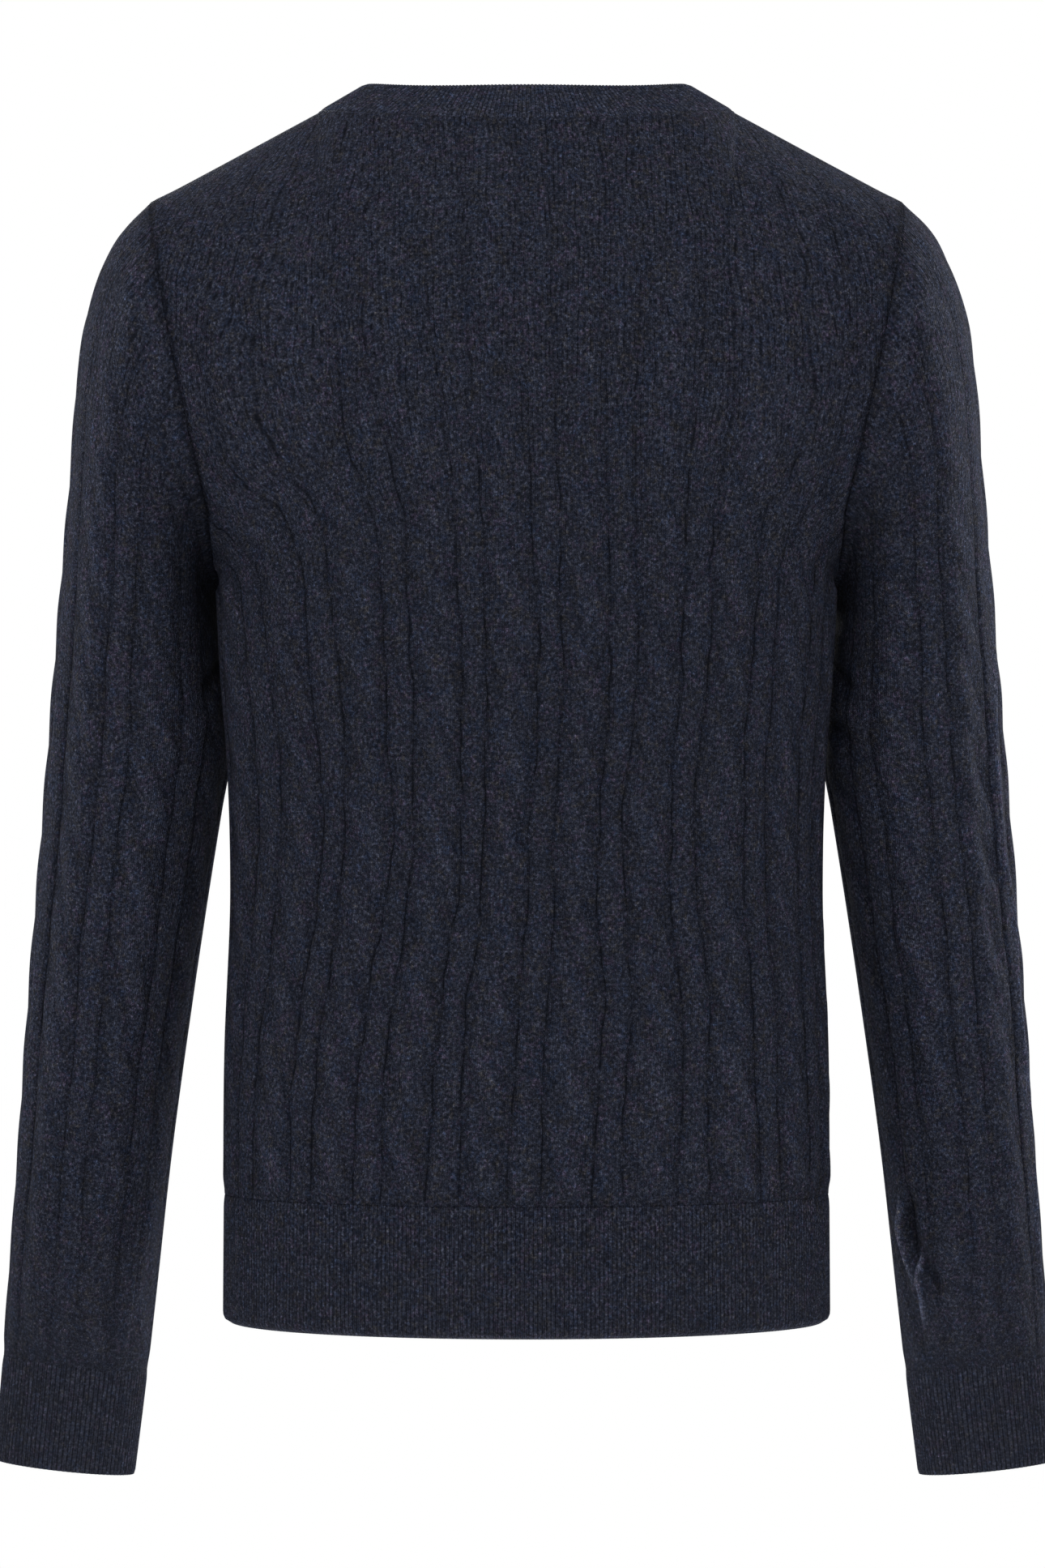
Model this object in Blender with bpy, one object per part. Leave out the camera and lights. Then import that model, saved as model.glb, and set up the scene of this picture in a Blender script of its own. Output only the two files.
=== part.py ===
"""Cable knit cardigan in worn form with nobody in it.

A V-neck cardigan, knitted in panels: back, two fronts, two sleeves, ribbed bands and buttons.
+Z is up, the fronts face -Y and the wearer's left is +X. The origin lies in the middle of the
neck opening, at the height of the back neck seam. Tables and sizes are in millimetres, and MM
turns them into metres when a mesh is made.

Every cloth panel is a lofted wall: a row of points at each level of an outer surface that
carries the cables and ribs, and coarser rows of a plain inner surface.
"""
import math

import bmesh
import bpy
import numpy as np
from mathutils import Vector

MM = 0.001

# ------------------------------------------------------------------ driving sizes, mm
WALL = 2.0                 # plain knit, without the cables
GAP = 0.3                  # between two sewn pieces
HEM_LEVEL = -656.0         # lower edge of the body
RIB_TOP = -584.3           # where the hem rib ends and the cables begin
UNDERARM = -258.0
SHOULDER = (203.4, -45.6)  # the shoulder point: half width and height
NECK_POINT = (113.0, 3.0)  # where the shoulder seam meets the neckband
BACK_NECK = (66.0, -7.5)   # depth and height of the back neckline's middle
COLUMNS_AROUND = 20        # cable columns round the body
SLEEVE_COLUMNS = 7         # cable columns round a sleeve
SIDE_SEAM = 5.825          # side seam, counted in cable columns from the back's middle
CABLE_REPEAT = 43.5        # height of one cable crossing
CABLE_RISE = 2.0           # front strand of a crossing above the plain knit
STRAND_DIP = 0.5           # the strand that passes behind
RIB_RISE = 1.1             # narrow rib between two cables
STRAND_LEAN = 7.0          # a strand's height gained on its way to the next column
FINE_RIB_PITCH = 3.8       # 1x1 rib of hem, cuffs and neckband
FINE_RIB_RISE = 0.7
BAND_WIDTH = 30.0
BAND_TURN = 70.0           # height over which the front band turns on to the shoulder
NECK_CORNER_EASE = 1.0     # the front's corner at the neck point keeps clear of the turning band
NECK_CORNER = 30.0         # height of that corner
V_LEVEL = -206.0           # bottom of the V on the front's middle
CUFF = 59.0                # height of the cuff rib
COLUMN_WIDTH = 44.7        # of one cable column round the body
SEAM_RISE = 0.3            # the cables' rise where they meet a rib
BUTTON_RADIUS = 7.5
BUTTON_THICKNESS = 3.0
BUTTON_COUNT = 6

# points across one cable column: place in the column, rise at a crossing, rise between
# crossings, share of STRAND_LEAN
COLUMN = (
    (0.000, RIB_RISE, RIB_RISE, 0.0),
    (0.175, 0.0, 0.0, 0.0),
    (0.380, CABLE_RISE, STRAND_DIP, -1.0),
    (0.620, CABLE_RISE, STRAND_DIP, 1.0),
    (0.825, 0.0, 0.0, 0.0),
)

# torso sections below the underarm: height, half width, depth behind and before the middle
TORSO_MIDDLE = 6.0
TORSO = (
    # height, half_width, back, front
    (-656.0, 164.5, 108.0, 110.0),
    (-584.0, 164.0, 107.0, 110.0),
    (-507.0, 163.2, 104.0, 107.0),
    (-419.0, 160.0, 101.0, 104.0),
    (-348.0, 162.0, 106.0, 109.0),
    (-300.0, 165.8, 110.0, 114.0),
    (-258.0, 168.0, 112.0, 116.0),
)

# middle of the back and of the front above the underarm: share of the height, depth
UPPER = (
    # share, back, front
    (0.00, 118.0, -110.0),
    (0.25, 121.0, -107.0),
    (0.50, 117.0, -96.0),
    (0.70, 107.0, -80.0),
    (0.85, 93.0, -66.0),
    (1.00, 70.0, -50.0),
)

# sleeve: height of a ring's outer end, its half width coordinate, depth of that end, and how
# far the sleeve bulges behind and before the line between its two ends
SLEEVE_OUTER = (
    # height, x, y, back, front
    (-45.6, 203.4, -2.0, 80.0, 42.0),
    (-62.1, 219.4, -4.0, 79.0, 44.0),
    (-79.6, 229.6, -7.0, 78.0, 46.0),
    (-105.8, 239.1, -11.0, 76.0, 48.0),
    (-136.4, 244.2, -15.0, 74.0, 50.0),
    (-189.1, 248.7, -22.0, 70.0, 52.0),
    (-259.6, 255.1, -30.0, 65.0, 53.0),
    (-375.1, 265.0, -40.0, 57.0, 53.0),
    (-464.3, 272.5, -44.0, 50.0, 49.0),
    (-553.7, 279.5, -47.0, 43.0, 43.0),
    (-643.3, 286.5, -50.0, 35.0, 35.0),
    (-676.0, 289.0, -51.0, 29.0, 29.0),
    (-735.7, 294.4, -52.0, 25.0, 25.0),
)
SLEEVE_INNER = (
    # height, x, y
    (-258.0, 163.5, -30.0),
    (-262.0, 166.5, -32.0),
    (-270.0, 167.5, -35.0),
    (-288.0, 166.5, -38.0),
    (-320.0, 164.5, -41.0),
    (-348.3, 164.2, -43.0),
    (-375.1, 168.8, -44.0),
    (-419.6, 176.0, -45.0),
    (-464.3, 182.8, -46.0),
    (-553.7, 195.1, -48.0),
    (-643.3, 205.1, -50.0),
    (-688.1, 210.2, -51.0),
    (-744.0, 217.2, -52.0),
)
ARMHOLE_BOW = 4.0          # how far the back armhole seam bows outwards
UNDERARM_SWELL = 5.0       # and how far it swells just above the underarm
TILTED_LENGTH = 326.0      # length of the sleeve's outer edge over which its rings turn level
TILTED_DROP = 122.0        # what the inner edge drops meanwhile
SLEEVE_RIB_ANGLE = 79.0    # place of the rib on the sleeve's back
SLEEVE_END = 690.0         # length of the sleeve's outer edge from the shoulder point
SHOULDER_THICKNESS = np.array([0.50, 0.0, 0.866])   # way the wall faces along the shoulder seam
SEAM_EASE = 6.0            # height in which the cables sink into a rib or a seam

YARN = (0.020, 0.024, 0.038, 1.0)
BUTTON_COLOUR = (0.012, 0.012, 0.016, 1.0)


# ------------------------------------------------------------------ curves and surfaces
def smooth(rows, column, at):
    """Cubic Hermite curve through one column of a table, over the table's first column."""
    table = np.array(rows, dtype=float)
    if table[0, 0] > table[-1, 0]:
        table = table[::-1]
    xs = table[:, 0]
    ys = table[:, column]
    slopes = np.gradient(ys, xs)
    at = np.clip(np.asarray(at, dtype=float), xs[0], xs[-1])
    k = np.clip(np.searchsorted(xs, at) - 1, 0, len(xs) - 2)
    width = xs[k + 1] - xs[k]
    t = (at - xs[k]) / width
    return (
        ys[k] * (2 * t**3 - 3 * t**2 + 1)
        + slopes[k] * width * (t**3 - 2 * t**2 + t)
        + ys[k + 1] * (3 * t**2 - 2 * t**3)
        + slopes[k + 1] * width * (t**3 - t**2)
    )


def unit(vectors):
    """Vectors brought to length 1."""
    vectors = np.asarray(vectors, dtype=float)
    return vectors / np.linalg.norm(vectors, axis=-1, keepdims=True)


def torso_ring(s, height):
    """Points of the level torso section, s counted in cable columns from the back's middle."""
    half_width = smooth(TORSO, 1, height)
    back = smooth(TORSO, 2, height)
    front = smooth(TORSO, 3, height)
    turn = np.linspace(0.0, math.pi, 241)
    depth = np.where(turn < math.pi / 2, back, front)
    ring_x = half_width * np.sin(turn)
    ring_y = TORSO_MIDDLE + depth * np.cos(turn)
    length = np.concatenate(([0.0], np.cumsum(np.hypot(np.diff(ring_x), np.diff(ring_y)))))
    place = length / length[-1] * COLUMNS_AROUND / 2
    angle = np.interp(np.abs(s), place, turn)
    depth = np.where(angle < math.pi / 2, back, front)
    x = np.sign(s) * half_width * np.sin(angle)
    y = TORSO_MIDDLE + depth * np.cos(angle)
    return np.stack([x, y, np.full_like(x, height)], axis=-1)


def armhole(share, front=False):
    """Armhole seam of the left side, on its back or its front half: half an oval whose angle
    grows with the share of the panel's height above the underarm."""
    turn = math.pi * np.asarray(share, dtype=float)[..., None]
    low = torso_ring(np.array([SIDE_SEAM]), UNDERARM)[0]
    high = np.array([SHOULDER[0], SLEEVE_OUTER[0][2], SHOULDER[1]])
    chord = low + (high - low) * (1 - np.cos(turn)) / 2
    if front:
        return chord + np.sin(turn) * np.array([0.0, -SLEEVE_OUTER[0][4], 0.0])
    points = chord + np.sin(turn) * np.array([ARMHOLE_BOW, SLEEVE_OUTER[0][3], 0.0])
    points[..., 0] += underarm_swell(share)
    return points


def underarm_swell(share):
    """How far the low end of the back armhole swells out round the side of the chest."""
    return UNDERARM_SWELL * np.sin(math.pi * np.clip(np.asarray(share) / 0.3, 0.0, 1.0))


def armhole_thickness(share, front=False, of_sleeve=False):
    """Direction of the wall's thickness along the armhole seam.

    It lies in the seam's plane and points away from its middle. At the underarm, where the
    body and the sleeve hang side by side, it turns to the face of each.
    """
    up = unit(armhole(np.array(1.0)) - armhole(np.array(0.0)))
    share = np.asarray(share, dtype=float)[..., None]
    turn = math.pi * share
    away = np.array([0.0, -1.0 if front else 1.0, 0.0])
    radial = -np.cos(turn) * up + np.sin(turn) * away
    near = torso_ring(np.array([SIDE_SEAM - 0.02, SIDE_SEAM + 0.02]), UNDERARM)
    along = near[1] - near[0]
    face = unit(np.array([-along[1], along[0], 0.0])) * (-1.0 if of_sleeve else 1.0)
    grown = np.clip(share / 0.3, 0.0, 1.0)
    grown = grown**2 * (3 - 2 * grown)
    direction = radial * grown + face * (1 - grown)
    return unit(np.where(np.cos(turn) < -0.999, SHOULDER_THICKNESS, direction))


def top_edge(u):
    """Upper edge of the back: neckline up to the neck point, then the shoulder seam."""
    u = np.abs(u)
    neck_share = NECK_POINT[0] / SHOULDER[0]
    inside = np.clip(u / neck_share, 0.0, 1.0)
    outside = np.clip((u - neck_share) / (1 - neck_share), 0.0, 1.0)
    y = BACK_NECK[0] * np.sqrt(1 - inside**2) + SLEEVE_OUTER[0][2] * outside
    z = BACK_NECK[1] + (NECK_POINT[1] - BACK_NECK[1]) * inside**2
    z = z + (SHOULDER[1] - NECK_POINT[1]) * outside
    return y, z


def section_place(y, front):
    """Column place at which the underarm section has depth y."""
    depth = TORSO[-1][3] if front else TORSO[-1][2]
    turn = math.acos(max(-1.0, min(1.0, (y - TORSO_MIDDLE) / depth)))
    places = np.linspace(0.0, COLUMNS_AROUND / 2, 201)
    ring = torso_ring(places, UNDERARM)
    turns = np.arctan2(ring[:, 0] / TORSO[-1][1], (ring[:, 1] - TORSO_MIDDLE) / depth)
    return float(np.interp(turn, turns, places))


def body_surface(s, height):
    """Plain outer surface of the body at column place s and level height (0 is the neck).

    Below the underarm it is the torso section. Above, the columns keep to the section at the
    underarm while the armhole narrows it, its ends are moved out to the armhole seam and its
    middle to the back or the front, and near the top it rounds over on to the shoulder seam
    and the neckline.
    """
    s = np.asarray(s, dtype=float)
    if height <= UNDERARM:
        return torso_ring(s, height)
    share = 1 - height / UNDERARM
    front = np.abs(s) > SIDE_SEAM
    result = np.zeros((len(s), 3))
    if (~front).any():
        result[~front] = upper_surface(s[~front], share, False)
    if front.any():
        result[front] = upper_surface(s[front], share, True)
    return result


def upper_surface(s, share, front):
    """The back or the front above the underarm, at a share of its height."""
    centre = COLUMNS_AROUND / 2 if front else 0.0
    span = abs(centre - SIDE_SEAM)
    u = np.abs(np.abs(s) - centre) / span
    edge = armhole(np.array(share), front)
    meet = armhole(np.array(min(share, 0.5)), front)
    seam_place = section_place(meet[1], front)
    narrow = abs(centre - seam_place) / span
    base = torso_ring(np.abs(centre - u * span * narrow), UNDERARM)
    seam = torso_ring(np.array([seam_place]), UNDERARM)[0]
    weight = np.clip(u, 0.0, 1.0) ** 2
    top_y, top_z = top_edge(u)
    top_y = -np.abs(top_y) if front else top_y
    spread = share**2
    x = base[:, 0] * (1 - spread) + SHOULDER[0] * u * spread
    x += weight * (edge[0] - seam[0] * (1 - spread) - SHOULDER[0] * spread)
    late = max(0.0, (share - 0.55) / 0.45)
    fade = math.sqrt(max(0.0, 1 - late**2))
    column = 2 if front else 1
    y = base[:, 1] * fade + top_y * (1 - fade)
    y += weight * (edge[1] - seam[1] * fade - SLEEVE_OUTER[0][2] * (1 - fade))
    y += (1 - weight) * (smooth(UPPER, column, share) - UPPER[0][column]) * fade
    soft_z = BACK_NECK[1] + (SHOULDER[1] - BACK_NECK[1]) * u**2
    z = UNDERARM + (soft_z + (top_z - soft_z) * share**4 - UNDERARM) * share
    z += weight * (edge[2] - UNDERARM - (SHOULDER[1] - UNDERARM) * share)
    return np.stack([np.sign(s) * x, y, z], axis=-1)


def normals_of(surface, s, level, step_s, step_level):
    """Unit normals of a surface from its differences."""
    across = surface(s + step_s, level) - surface(s - step_s, level)
    along = surface(s, level + step_level) - surface(s, level - step_level)
    return unit(np.cross(along, across))


def body_normal(s, height):
    """Outward normal of the body."""
    height = min(max(height, HEM_LEVEL + 2.0), -2.0)
    return normals_of(body_surface, s, height, 0.02, 1.5)


def sleeve_ring(turn, fall):
    """Ring of the left sleeve. turn is 0 outside and pi inside, over the back; fall is the
    length down the outer edge from the shoulder point."""
    outer_z = SHOULDER[1] - fall
    if fall < TILTED_LENGTH:
        inner_z = UNDERARM - TILTED_DROP * (fall / TILTED_LENGTH) ** 2
    else:
        inner_z = UNDERARM - TILTED_DROP - (fall - TILTED_LENGTH)
    outer = np.array([smooth(SLEEVE_OUTER, 1, outer_z), smooth(SLEEVE_OUTER, 2, outer_z), outer_z])
    inner = np.array([smooth(SLEEVE_INNER, 1, inner_z), smooth(SLEEVE_INNER, 2, inner_z), inner_z])
    start = armhole(np.array(0.0))
    near = max(0.0, 1 - fall / 20.0)
    far = max(0.0, 1 - fall / 60.0)
    inner = inner + (start - np.array([SLEEVE_INNER[0][1], SLEEVE_INNER[0][2], UNDERARM])) * near
    behind = smooth(SLEEVE_OUTER, 3, outer_z)
    before = smooth(SLEEVE_OUTER, 4, outer_z)
    turn = np.asarray(turn, dtype=float)
    cosine = np.cos(turn)[..., None]
    sine = np.sin(turn)
    points = (outer + inner) / 2 + cosine * (outer - inner) / 2
    depth = np.where(sine > 0, behind, before) * sine
    bow = ARMHOLE_BOW * far * np.clip(sine, 0.0, 1.0)
    bow = bow + underarm_swell(1 - turn / math.pi) * max(0.0, 1 - fall / 160.0)
    return points + np.stack([bow, depth, np.zeros_like(depth)], axis=-1)


def sleeve_normal(turn, fall):
    """Outward normal of the left sleeve."""
    fall = min(max(fall, 1.0), SLEEVE_END - 2.0)
    return normals_of(sleeve_ring, turn, fall, 0.02, 0.8)


# ------------------------------------------------------------------ lofted walls
class Wall:
    """Collects rows of points and the strips of faces between them."""

    def __init__(self):
        self.points = []
        self.faces = []

    def row(self, places, points):
        """Adds a row and returns its places with the numbers of its points."""
        first = len(self.points)
        self.points.extend(np.asarray(points, dtype=float).tolist())
        return list(places), list(range(first, first + len(points)))

    def strip(self, low, high, period=None):
        """Triangles between two rows, always stepping on in the row that is behind."""
        low_at, low_id = list(low[0]), list(low[1])
        high_at, high_id = list(high[0]), list(high[1])
        if period:
            low_at.append(low_at[0] + period)
            low_id.append(low_id[0])
            high_at.append(high_at[0] + period)
            high_id.append(high_id[0])
        i = 0
        j = 0
        while i < len(low_id) - 1 or j < len(high_id) - 1:
            low_next = low_at[i + 1] if i < len(low_id) - 1 else math.inf
            high_next = high_at[j + 1] if j < len(high_id) - 1 else math.inf
            step_low = low_next < high_next
            if abs(low_next - high_next) < 1e-9:
                step_low = self.length(low_id[i + 1], high_id[j]) <= self.length(
                    low_id[i], high_id[j + 1]
                )
            if step_low:
                self.faces.append((low_id[i], low_id[i + 1], high_id[j]))
                i += 1
            else:
                self.faces.append((low_id[i], high_id[j + 1], high_id[j]))
                j += 1

    def length(self, one, other):
        """Distance between two points, rounded so that equal diagonals compare as equal."""
        return round(math.dist(self.points[one], self.points[other]), 1)

    def build(self, name, material, collection):
        """Makes the mesh object, its faces turned outwards."""
        mesh = bpy.data.meshes.new(name)
        mesh.from_pydata((np.array(self.points) * MM).tolist(), [], self.faces)
        cage = bmesh.new()
        cage.from_mesh(mesh)
        bmesh.ops.recalc_face_normals(cage, faces=cage.faces)
        if cage.calc_volume(signed=True) < 0:
            bmesh.ops.reverse_faces(cage, faces=cage.faces)
        cage.to_mesh(mesh)
        cage.free()
        mesh.materials.append(material)
        mesh.shade_smooth()
        piece = bpy.data.objects.new(name, mesh)
        collection.objects.link(piece)
        return piece


def close_open_wall(wall, outer, inner):
    """Joins an outer and an inner sheet of rows along their four edges."""
    outer_rows = [row for level, row in outer]
    inner_rows = [row for level, row in inner]
    for rows in (outer_rows, inner_rows):
        for low, high in zip(rows, rows[1:]):
            wall.strip(low, high)
    wall.strip(outer_rows[0], inner_rows[0])
    wall.strip(outer_rows[-1], inner_rows[-1])
    for end in (0, -1):
        outer_side = ([level for level, row in outer], [row[1][end] for level, row in outer])
        inner_side = ([level for level, row in inner], [row[1][end] for level, row in inner])
        wall.strip(outer_side, inner_side)


def close_tube_wall(wall, outer_rows, inner_rows, period):
    """Joins an outer and an inner tube of rows along their two open ends."""
    for rows in (outer_rows, inner_rows):
        for low, high in zip(rows, rows[1:]):
            wall.strip(low, high, period)
    wall.strip(outer_rows[0], inner_rows[0], period)
    wall.strip(outer_rows[-1], inner_rows[-1], period)


def crossing(height):
    """1 where the cables cross, 0 half way between two crossings."""
    return 0.5 + 0.5 * math.cos(2 * math.pi * (height - RIB_TOP) / CABLE_REPEAT)


def stretched(height):
    """Share of the cables' rise: they flatten over the shoulders."""
    return float(np.interp(height, (-140.0, -30.0), (1.0, 0.45)))


def column_points(low, high):
    """Cable pattern points between two places: place, rise at and between crossings, lean."""
    rows = []
    for k in range(math.floor(low), math.ceil(high) + 1):
        for place, at_crossing, between, lean in COLUMN:
            if low + 0.02 < k + place < high - 0.02:
                rows.append((k + place, at_crossing, between, lean))
    return np.array(rows)


def rib_points(low, high, length):
    """Places of a 1x1 rib's ridges and furrows, with their rise."""
    count = 2 * round(length / FINE_RIB_PITCH)
    places = np.linspace(low, high, count + 1)
    rise = np.where(np.arange(count + 1) % 2 == 1, FINE_RIB_RISE, 0.0)
    return places, rise


# ------------------------------------------------------------------ body panels
BODY_ROWS = 15             # half cable repeats between the hem rib and the underarm
LOWER_LEVELS = [RIB_TOP + SEAM_EASE] + [
    RIB_TOP + (UNDERARM - RIB_TOP) * k / BODY_ROWS for k in range(1, BODY_ROWS + 1)
]
UPPER_LEVELS = [UNDERARM + k * CABLE_REPEAT / 2 for k in range(1, 12)] + [-6.5]
NECK_PLACES = (0.0, 0.22, 0.44, 0.66, 0.84, 0.94)   # shares of the neckline's half width
SHOULDER_PLACES = (0.0, 0.25, 0.5, 0.75, 1.0)       # shares of the shoulder seam


def shoulder_line(share):
    """Points of the left shoulder seam, from the neck point out."""
    u = NECK_POINT[0] / SHOULDER[0]
    u = u + (1 - u) * np.asarray(share)
    y, z = top_edge(u)
    return np.stack([SHOULDER[0] * u, y, z], axis=-1)


def neckline(share):
    """Points of the back neckline from its middle to the left neck point."""
    u = NECK_POINT[0] / SHOULDER[0] * np.asarray(share)
    y, z = top_edge(u)
    return np.stack([SHOULDER[0] * u, y, z], axis=-1)


def band_rise(share):
    """Direction in which the back neckband stands on its neckline, and its outward side."""
    turn = np.asarray(share) * math.pi / 2
    turn = np.where(turn > 0, np.arcsin(np.clip(share, 0, 1)), 0.0)
    back = unit([0.0, -0.72, 0.69])
    side = unit([-0.86, 0.0, 0.51])
    mix = np.sin(turn)[..., None]
    rise = unit(back * np.sqrt(1 - mix**2) + side * mix)
    along = np.stack([-np.cos(turn), np.sin(turn), np.zeros_like(turn)], axis=-1)
    outward = np.cross(along, rise)
    outward = outward * np.sign(outward[..., 2:3] + 1e-9)
    return rise, unit(outward)


def v_edge(height):
    """Distance of the front's sewn edge from the middle: straight, then out along the V."""
    half_band = BAND_WIDTH / 2
    share = (height - V_LEVEL) / -V_LEVEL
    if share <= 0:
        return half_band
    return half_band + (NECK_POINT[0] - half_band) * share**0.95


def front_place(height):
    """Column place where the front's sewn edge lies at a level."""
    places = np.linspace(SIDE_SEAM + 0.01, COLUMNS_AROUND / 2, 400)
    x = body_surface(places, height)[:, 0]
    return float(np.interp(v_edge(height), x[::-1], places[::-1]))


def side_edge(height, front):
    """Seam point and thickness direction of a panel's left side edge, set back by the gap."""
    step = GAP / 2 * (-1 if front else 1)
    if height < UNDERARM - 0.01:
        point = torso_ring(np.array([SIDE_SEAM]), height)[0] + np.array([0.0, step, 0.0])
        return point, body_normal(np.array([SIDE_SEAM]), height)[0]
    share = 1 - height / UNDERARM
    point = armhole(np.array(share), front) + np.array([-GAP / 2, 0.0, 0.0])
    if share < 0.001 or share > 0.999:
        point = point + np.array([0.0, step, 0.0])
    return point, armhole_thickness(np.array(share), front)


def mirror_points(points):
    """The same points on the other side of the body."""
    return points * np.array([-1.0, 1.0, 1.0])


def panel_interior(places, height, side, inner):
    """Points of a panel between its edges at one level, given as cable pattern rows."""
    s = places[:, 0]
    lean = places[:, 3] * STRAND_LEAN * side
    room = max(0.0, min(1.0, (height - RIB_TOP - SEAM_EASE) / 15.0, -height / 40.0 - 0.5,
                        abs(height - UNDERARM) / 20.0))
    points = np.zeros((len(s), 3))
    rise = (places[:, 1] * crossing(height) + places[:, 2] * (1 - crossing(height)))
    rise = rise * stretched(height) * np.clip(np.abs(np.abs(s) - SIDE_SEAM) / 0.6, 0.0, 1.0)
    if height < RIB_TOP + SEAM_EASE + 0.1:
        rise = np.full(len(s), SEAM_RISE)
    for shift in sorted(set(lean.tolist())):
        same = lean == shift
        level = height + shift * room
        normal = body_normal(s[same], level)
        depth = -WALL if inner else rise[same][:, None]
        points[same] = body_surface(s[same], level) + normal * depth
    return points


def fine_row(low, high, height, inset_low, inset_high):
    """Row of the 1x1 rib on the body between two places, its two ends given."""
    places, rise = rib_points(low, high, (high - low) * COLUMN_WIDTH)
    points = torso_ring(places, height) + body_normal(places, height) * rise[:, None]
    points[0] = inset_low
    points[-1] = inset_high
    return places, points


INNER_STEP = 0.5           # inner wall: columns half a cable apart
HEM_INNER_STEP = 0.14      # and closer together under the ridges of the hem's edge


def inner_places(low, high, step):
    """Cable pattern rows for the coarse inner wall."""
    first = math.ceil(low / step + 0.25)
    last = math.floor(high / step - 0.25)
    return np.array([(k * step, 0.0, 0.0, 0.0) for k in range(first, last + 1)])


def inner_levels():
    """Levels of the inner wall: every second one below, each one near the shoulders."""
    return set(LOWER_LEVELS[1::2][:-1] + [UNDERARM, LOWER_LEVELS[-3]] + UPPER_LEVELS)


def build_back(material, collection):
    """Back panel: hem rib, cables, shoulders and neckline, from side seam to side seam."""
    wall = Wall()
    outer = []
    inner = []
    kept = inner_levels()
    for height in (HEM_LEVEL, RIB_TOP):
        point, thick = side_edge(height, False)
        places, points = fine_row(-SIDE_SEAM, SIDE_SEAM, height, mirror_points(point), point)
        outer.append((height, wall.row(places, points)))
    for height in LOWER_LEVELS + UPPER_LEVELS:
        point, thick = side_edge(height, False)
        pattern = column_points(-SIDE_SEAM, SIDE_SEAM)
        points = panel_interior(pattern, height, 1.0, False)
        points = np.vstack([mirror_points(point), points, point])
        places = [-SIDE_SEAM] + pattern[:, 0].tolist() + [SIDE_SEAM]
        outer.append((height, wall.row(places, points)))
    for height in [HEM_LEVEL, RIB_TOP] + LOWER_LEVELS[1:] + UPPER_LEVELS:
        if height not in kept and height not in (HEM_LEVEL, RIB_TOP):
            continue
        point, thick = side_edge(height, False)
        point = point - thick * WALL
        step = HEM_INNER_STEP if height == HEM_LEVEL else INNER_STEP
        pattern = inner_places(-SIDE_SEAM, SIDE_SEAM, step)
        points = panel_interior(pattern, height, 1.0, True)
        points = np.vstack([mirror_points(point), points, point])
        places = [-SIDE_SEAM] + pattern[:, 0].tolist() + [SIDE_SEAM]
        inner.append((height, wall.row(places, points)))
    neck_u = NECK_POINT[0] / SHOULDER[0]
    share = np.array(NECK_PLACES)
    rise, outward = band_rise(share)
    neck = neckline(share) - rise * GAP / 2
    line = shoulder_line(np.array(SHOULDER_PLACES)) + np.array([0.0, GAP / 2, 0.0])
    line[0] -= band_rise(np.array([1.0]))[0][0] * GAP / 2
    line[-1] -= np.array([GAP / 2, 0.0, 0.0])
    thick = np.vstack([outward, np.tile(SHOULDER_THICKNESS, (len(SHOULDER_PLACES), 1))])
    half = np.vstack([neck, line])
    half_places = np.concatenate([
        share * neck_u, neck_u + (1 - neck_u) * np.array(SHOULDER_PLACES)
    ]) * SIDE_SEAM
    places = np.concatenate([-half_places[:0:-1], half_places])
    for sheet, depth in ((outer, 0.0), (inner, WALL)):
        left = half - thick * depth
        points = np.vstack([mirror_points(left[:0:-1]), left])
        sheet.append((0.0, wall.row(places, points)))
    close_open_wall(wall, outer, inner)
    return wall.build("back", material, collection)


def front_edge_point(height):
    """Seam point, band direction and outward side at the front's sewn edge, left side."""
    place = front_place(height)
    point = body_surface(np.array([place]), height)[0]
    outward = body_normal(np.array([place]), height)[0]
    above = min(height + 3.0, -0.5)
    below = max(above - 6.0, HEM_LEVEL)
    high = body_surface(np.array([front_place(above)]), above)[0]
    low = body_surface(np.array([front_place(below)]), below)[0]
    along = unit(high - low)
    rise = unit(np.cross(outward, along))
    if rise[0] > 0:
        rise = -rise
    top_rise, top_outward = (v[0] for v in band_rise(np.array([1.0])))
    near = float(np.clip(1 + height / BAND_TURN, 0.0, 1.0))
    near = near**2 * (3 - 2 * near)
    rise = unit(rise * (1 - near) + top_rise * near)
    outward = unit(outward * (1 - near) + top_outward * near)
    return place, point, rise, outward


EDGE_MARGIN = 0.2          # columns left free of cable points along the front's edge


def edge_gap(height):
    """How far the front's edge is set back from its seam with the band."""
    return GAP / 2 + NECK_CORNER_EASE * max(0.0, 1 + height / NECK_CORNER)


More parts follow.
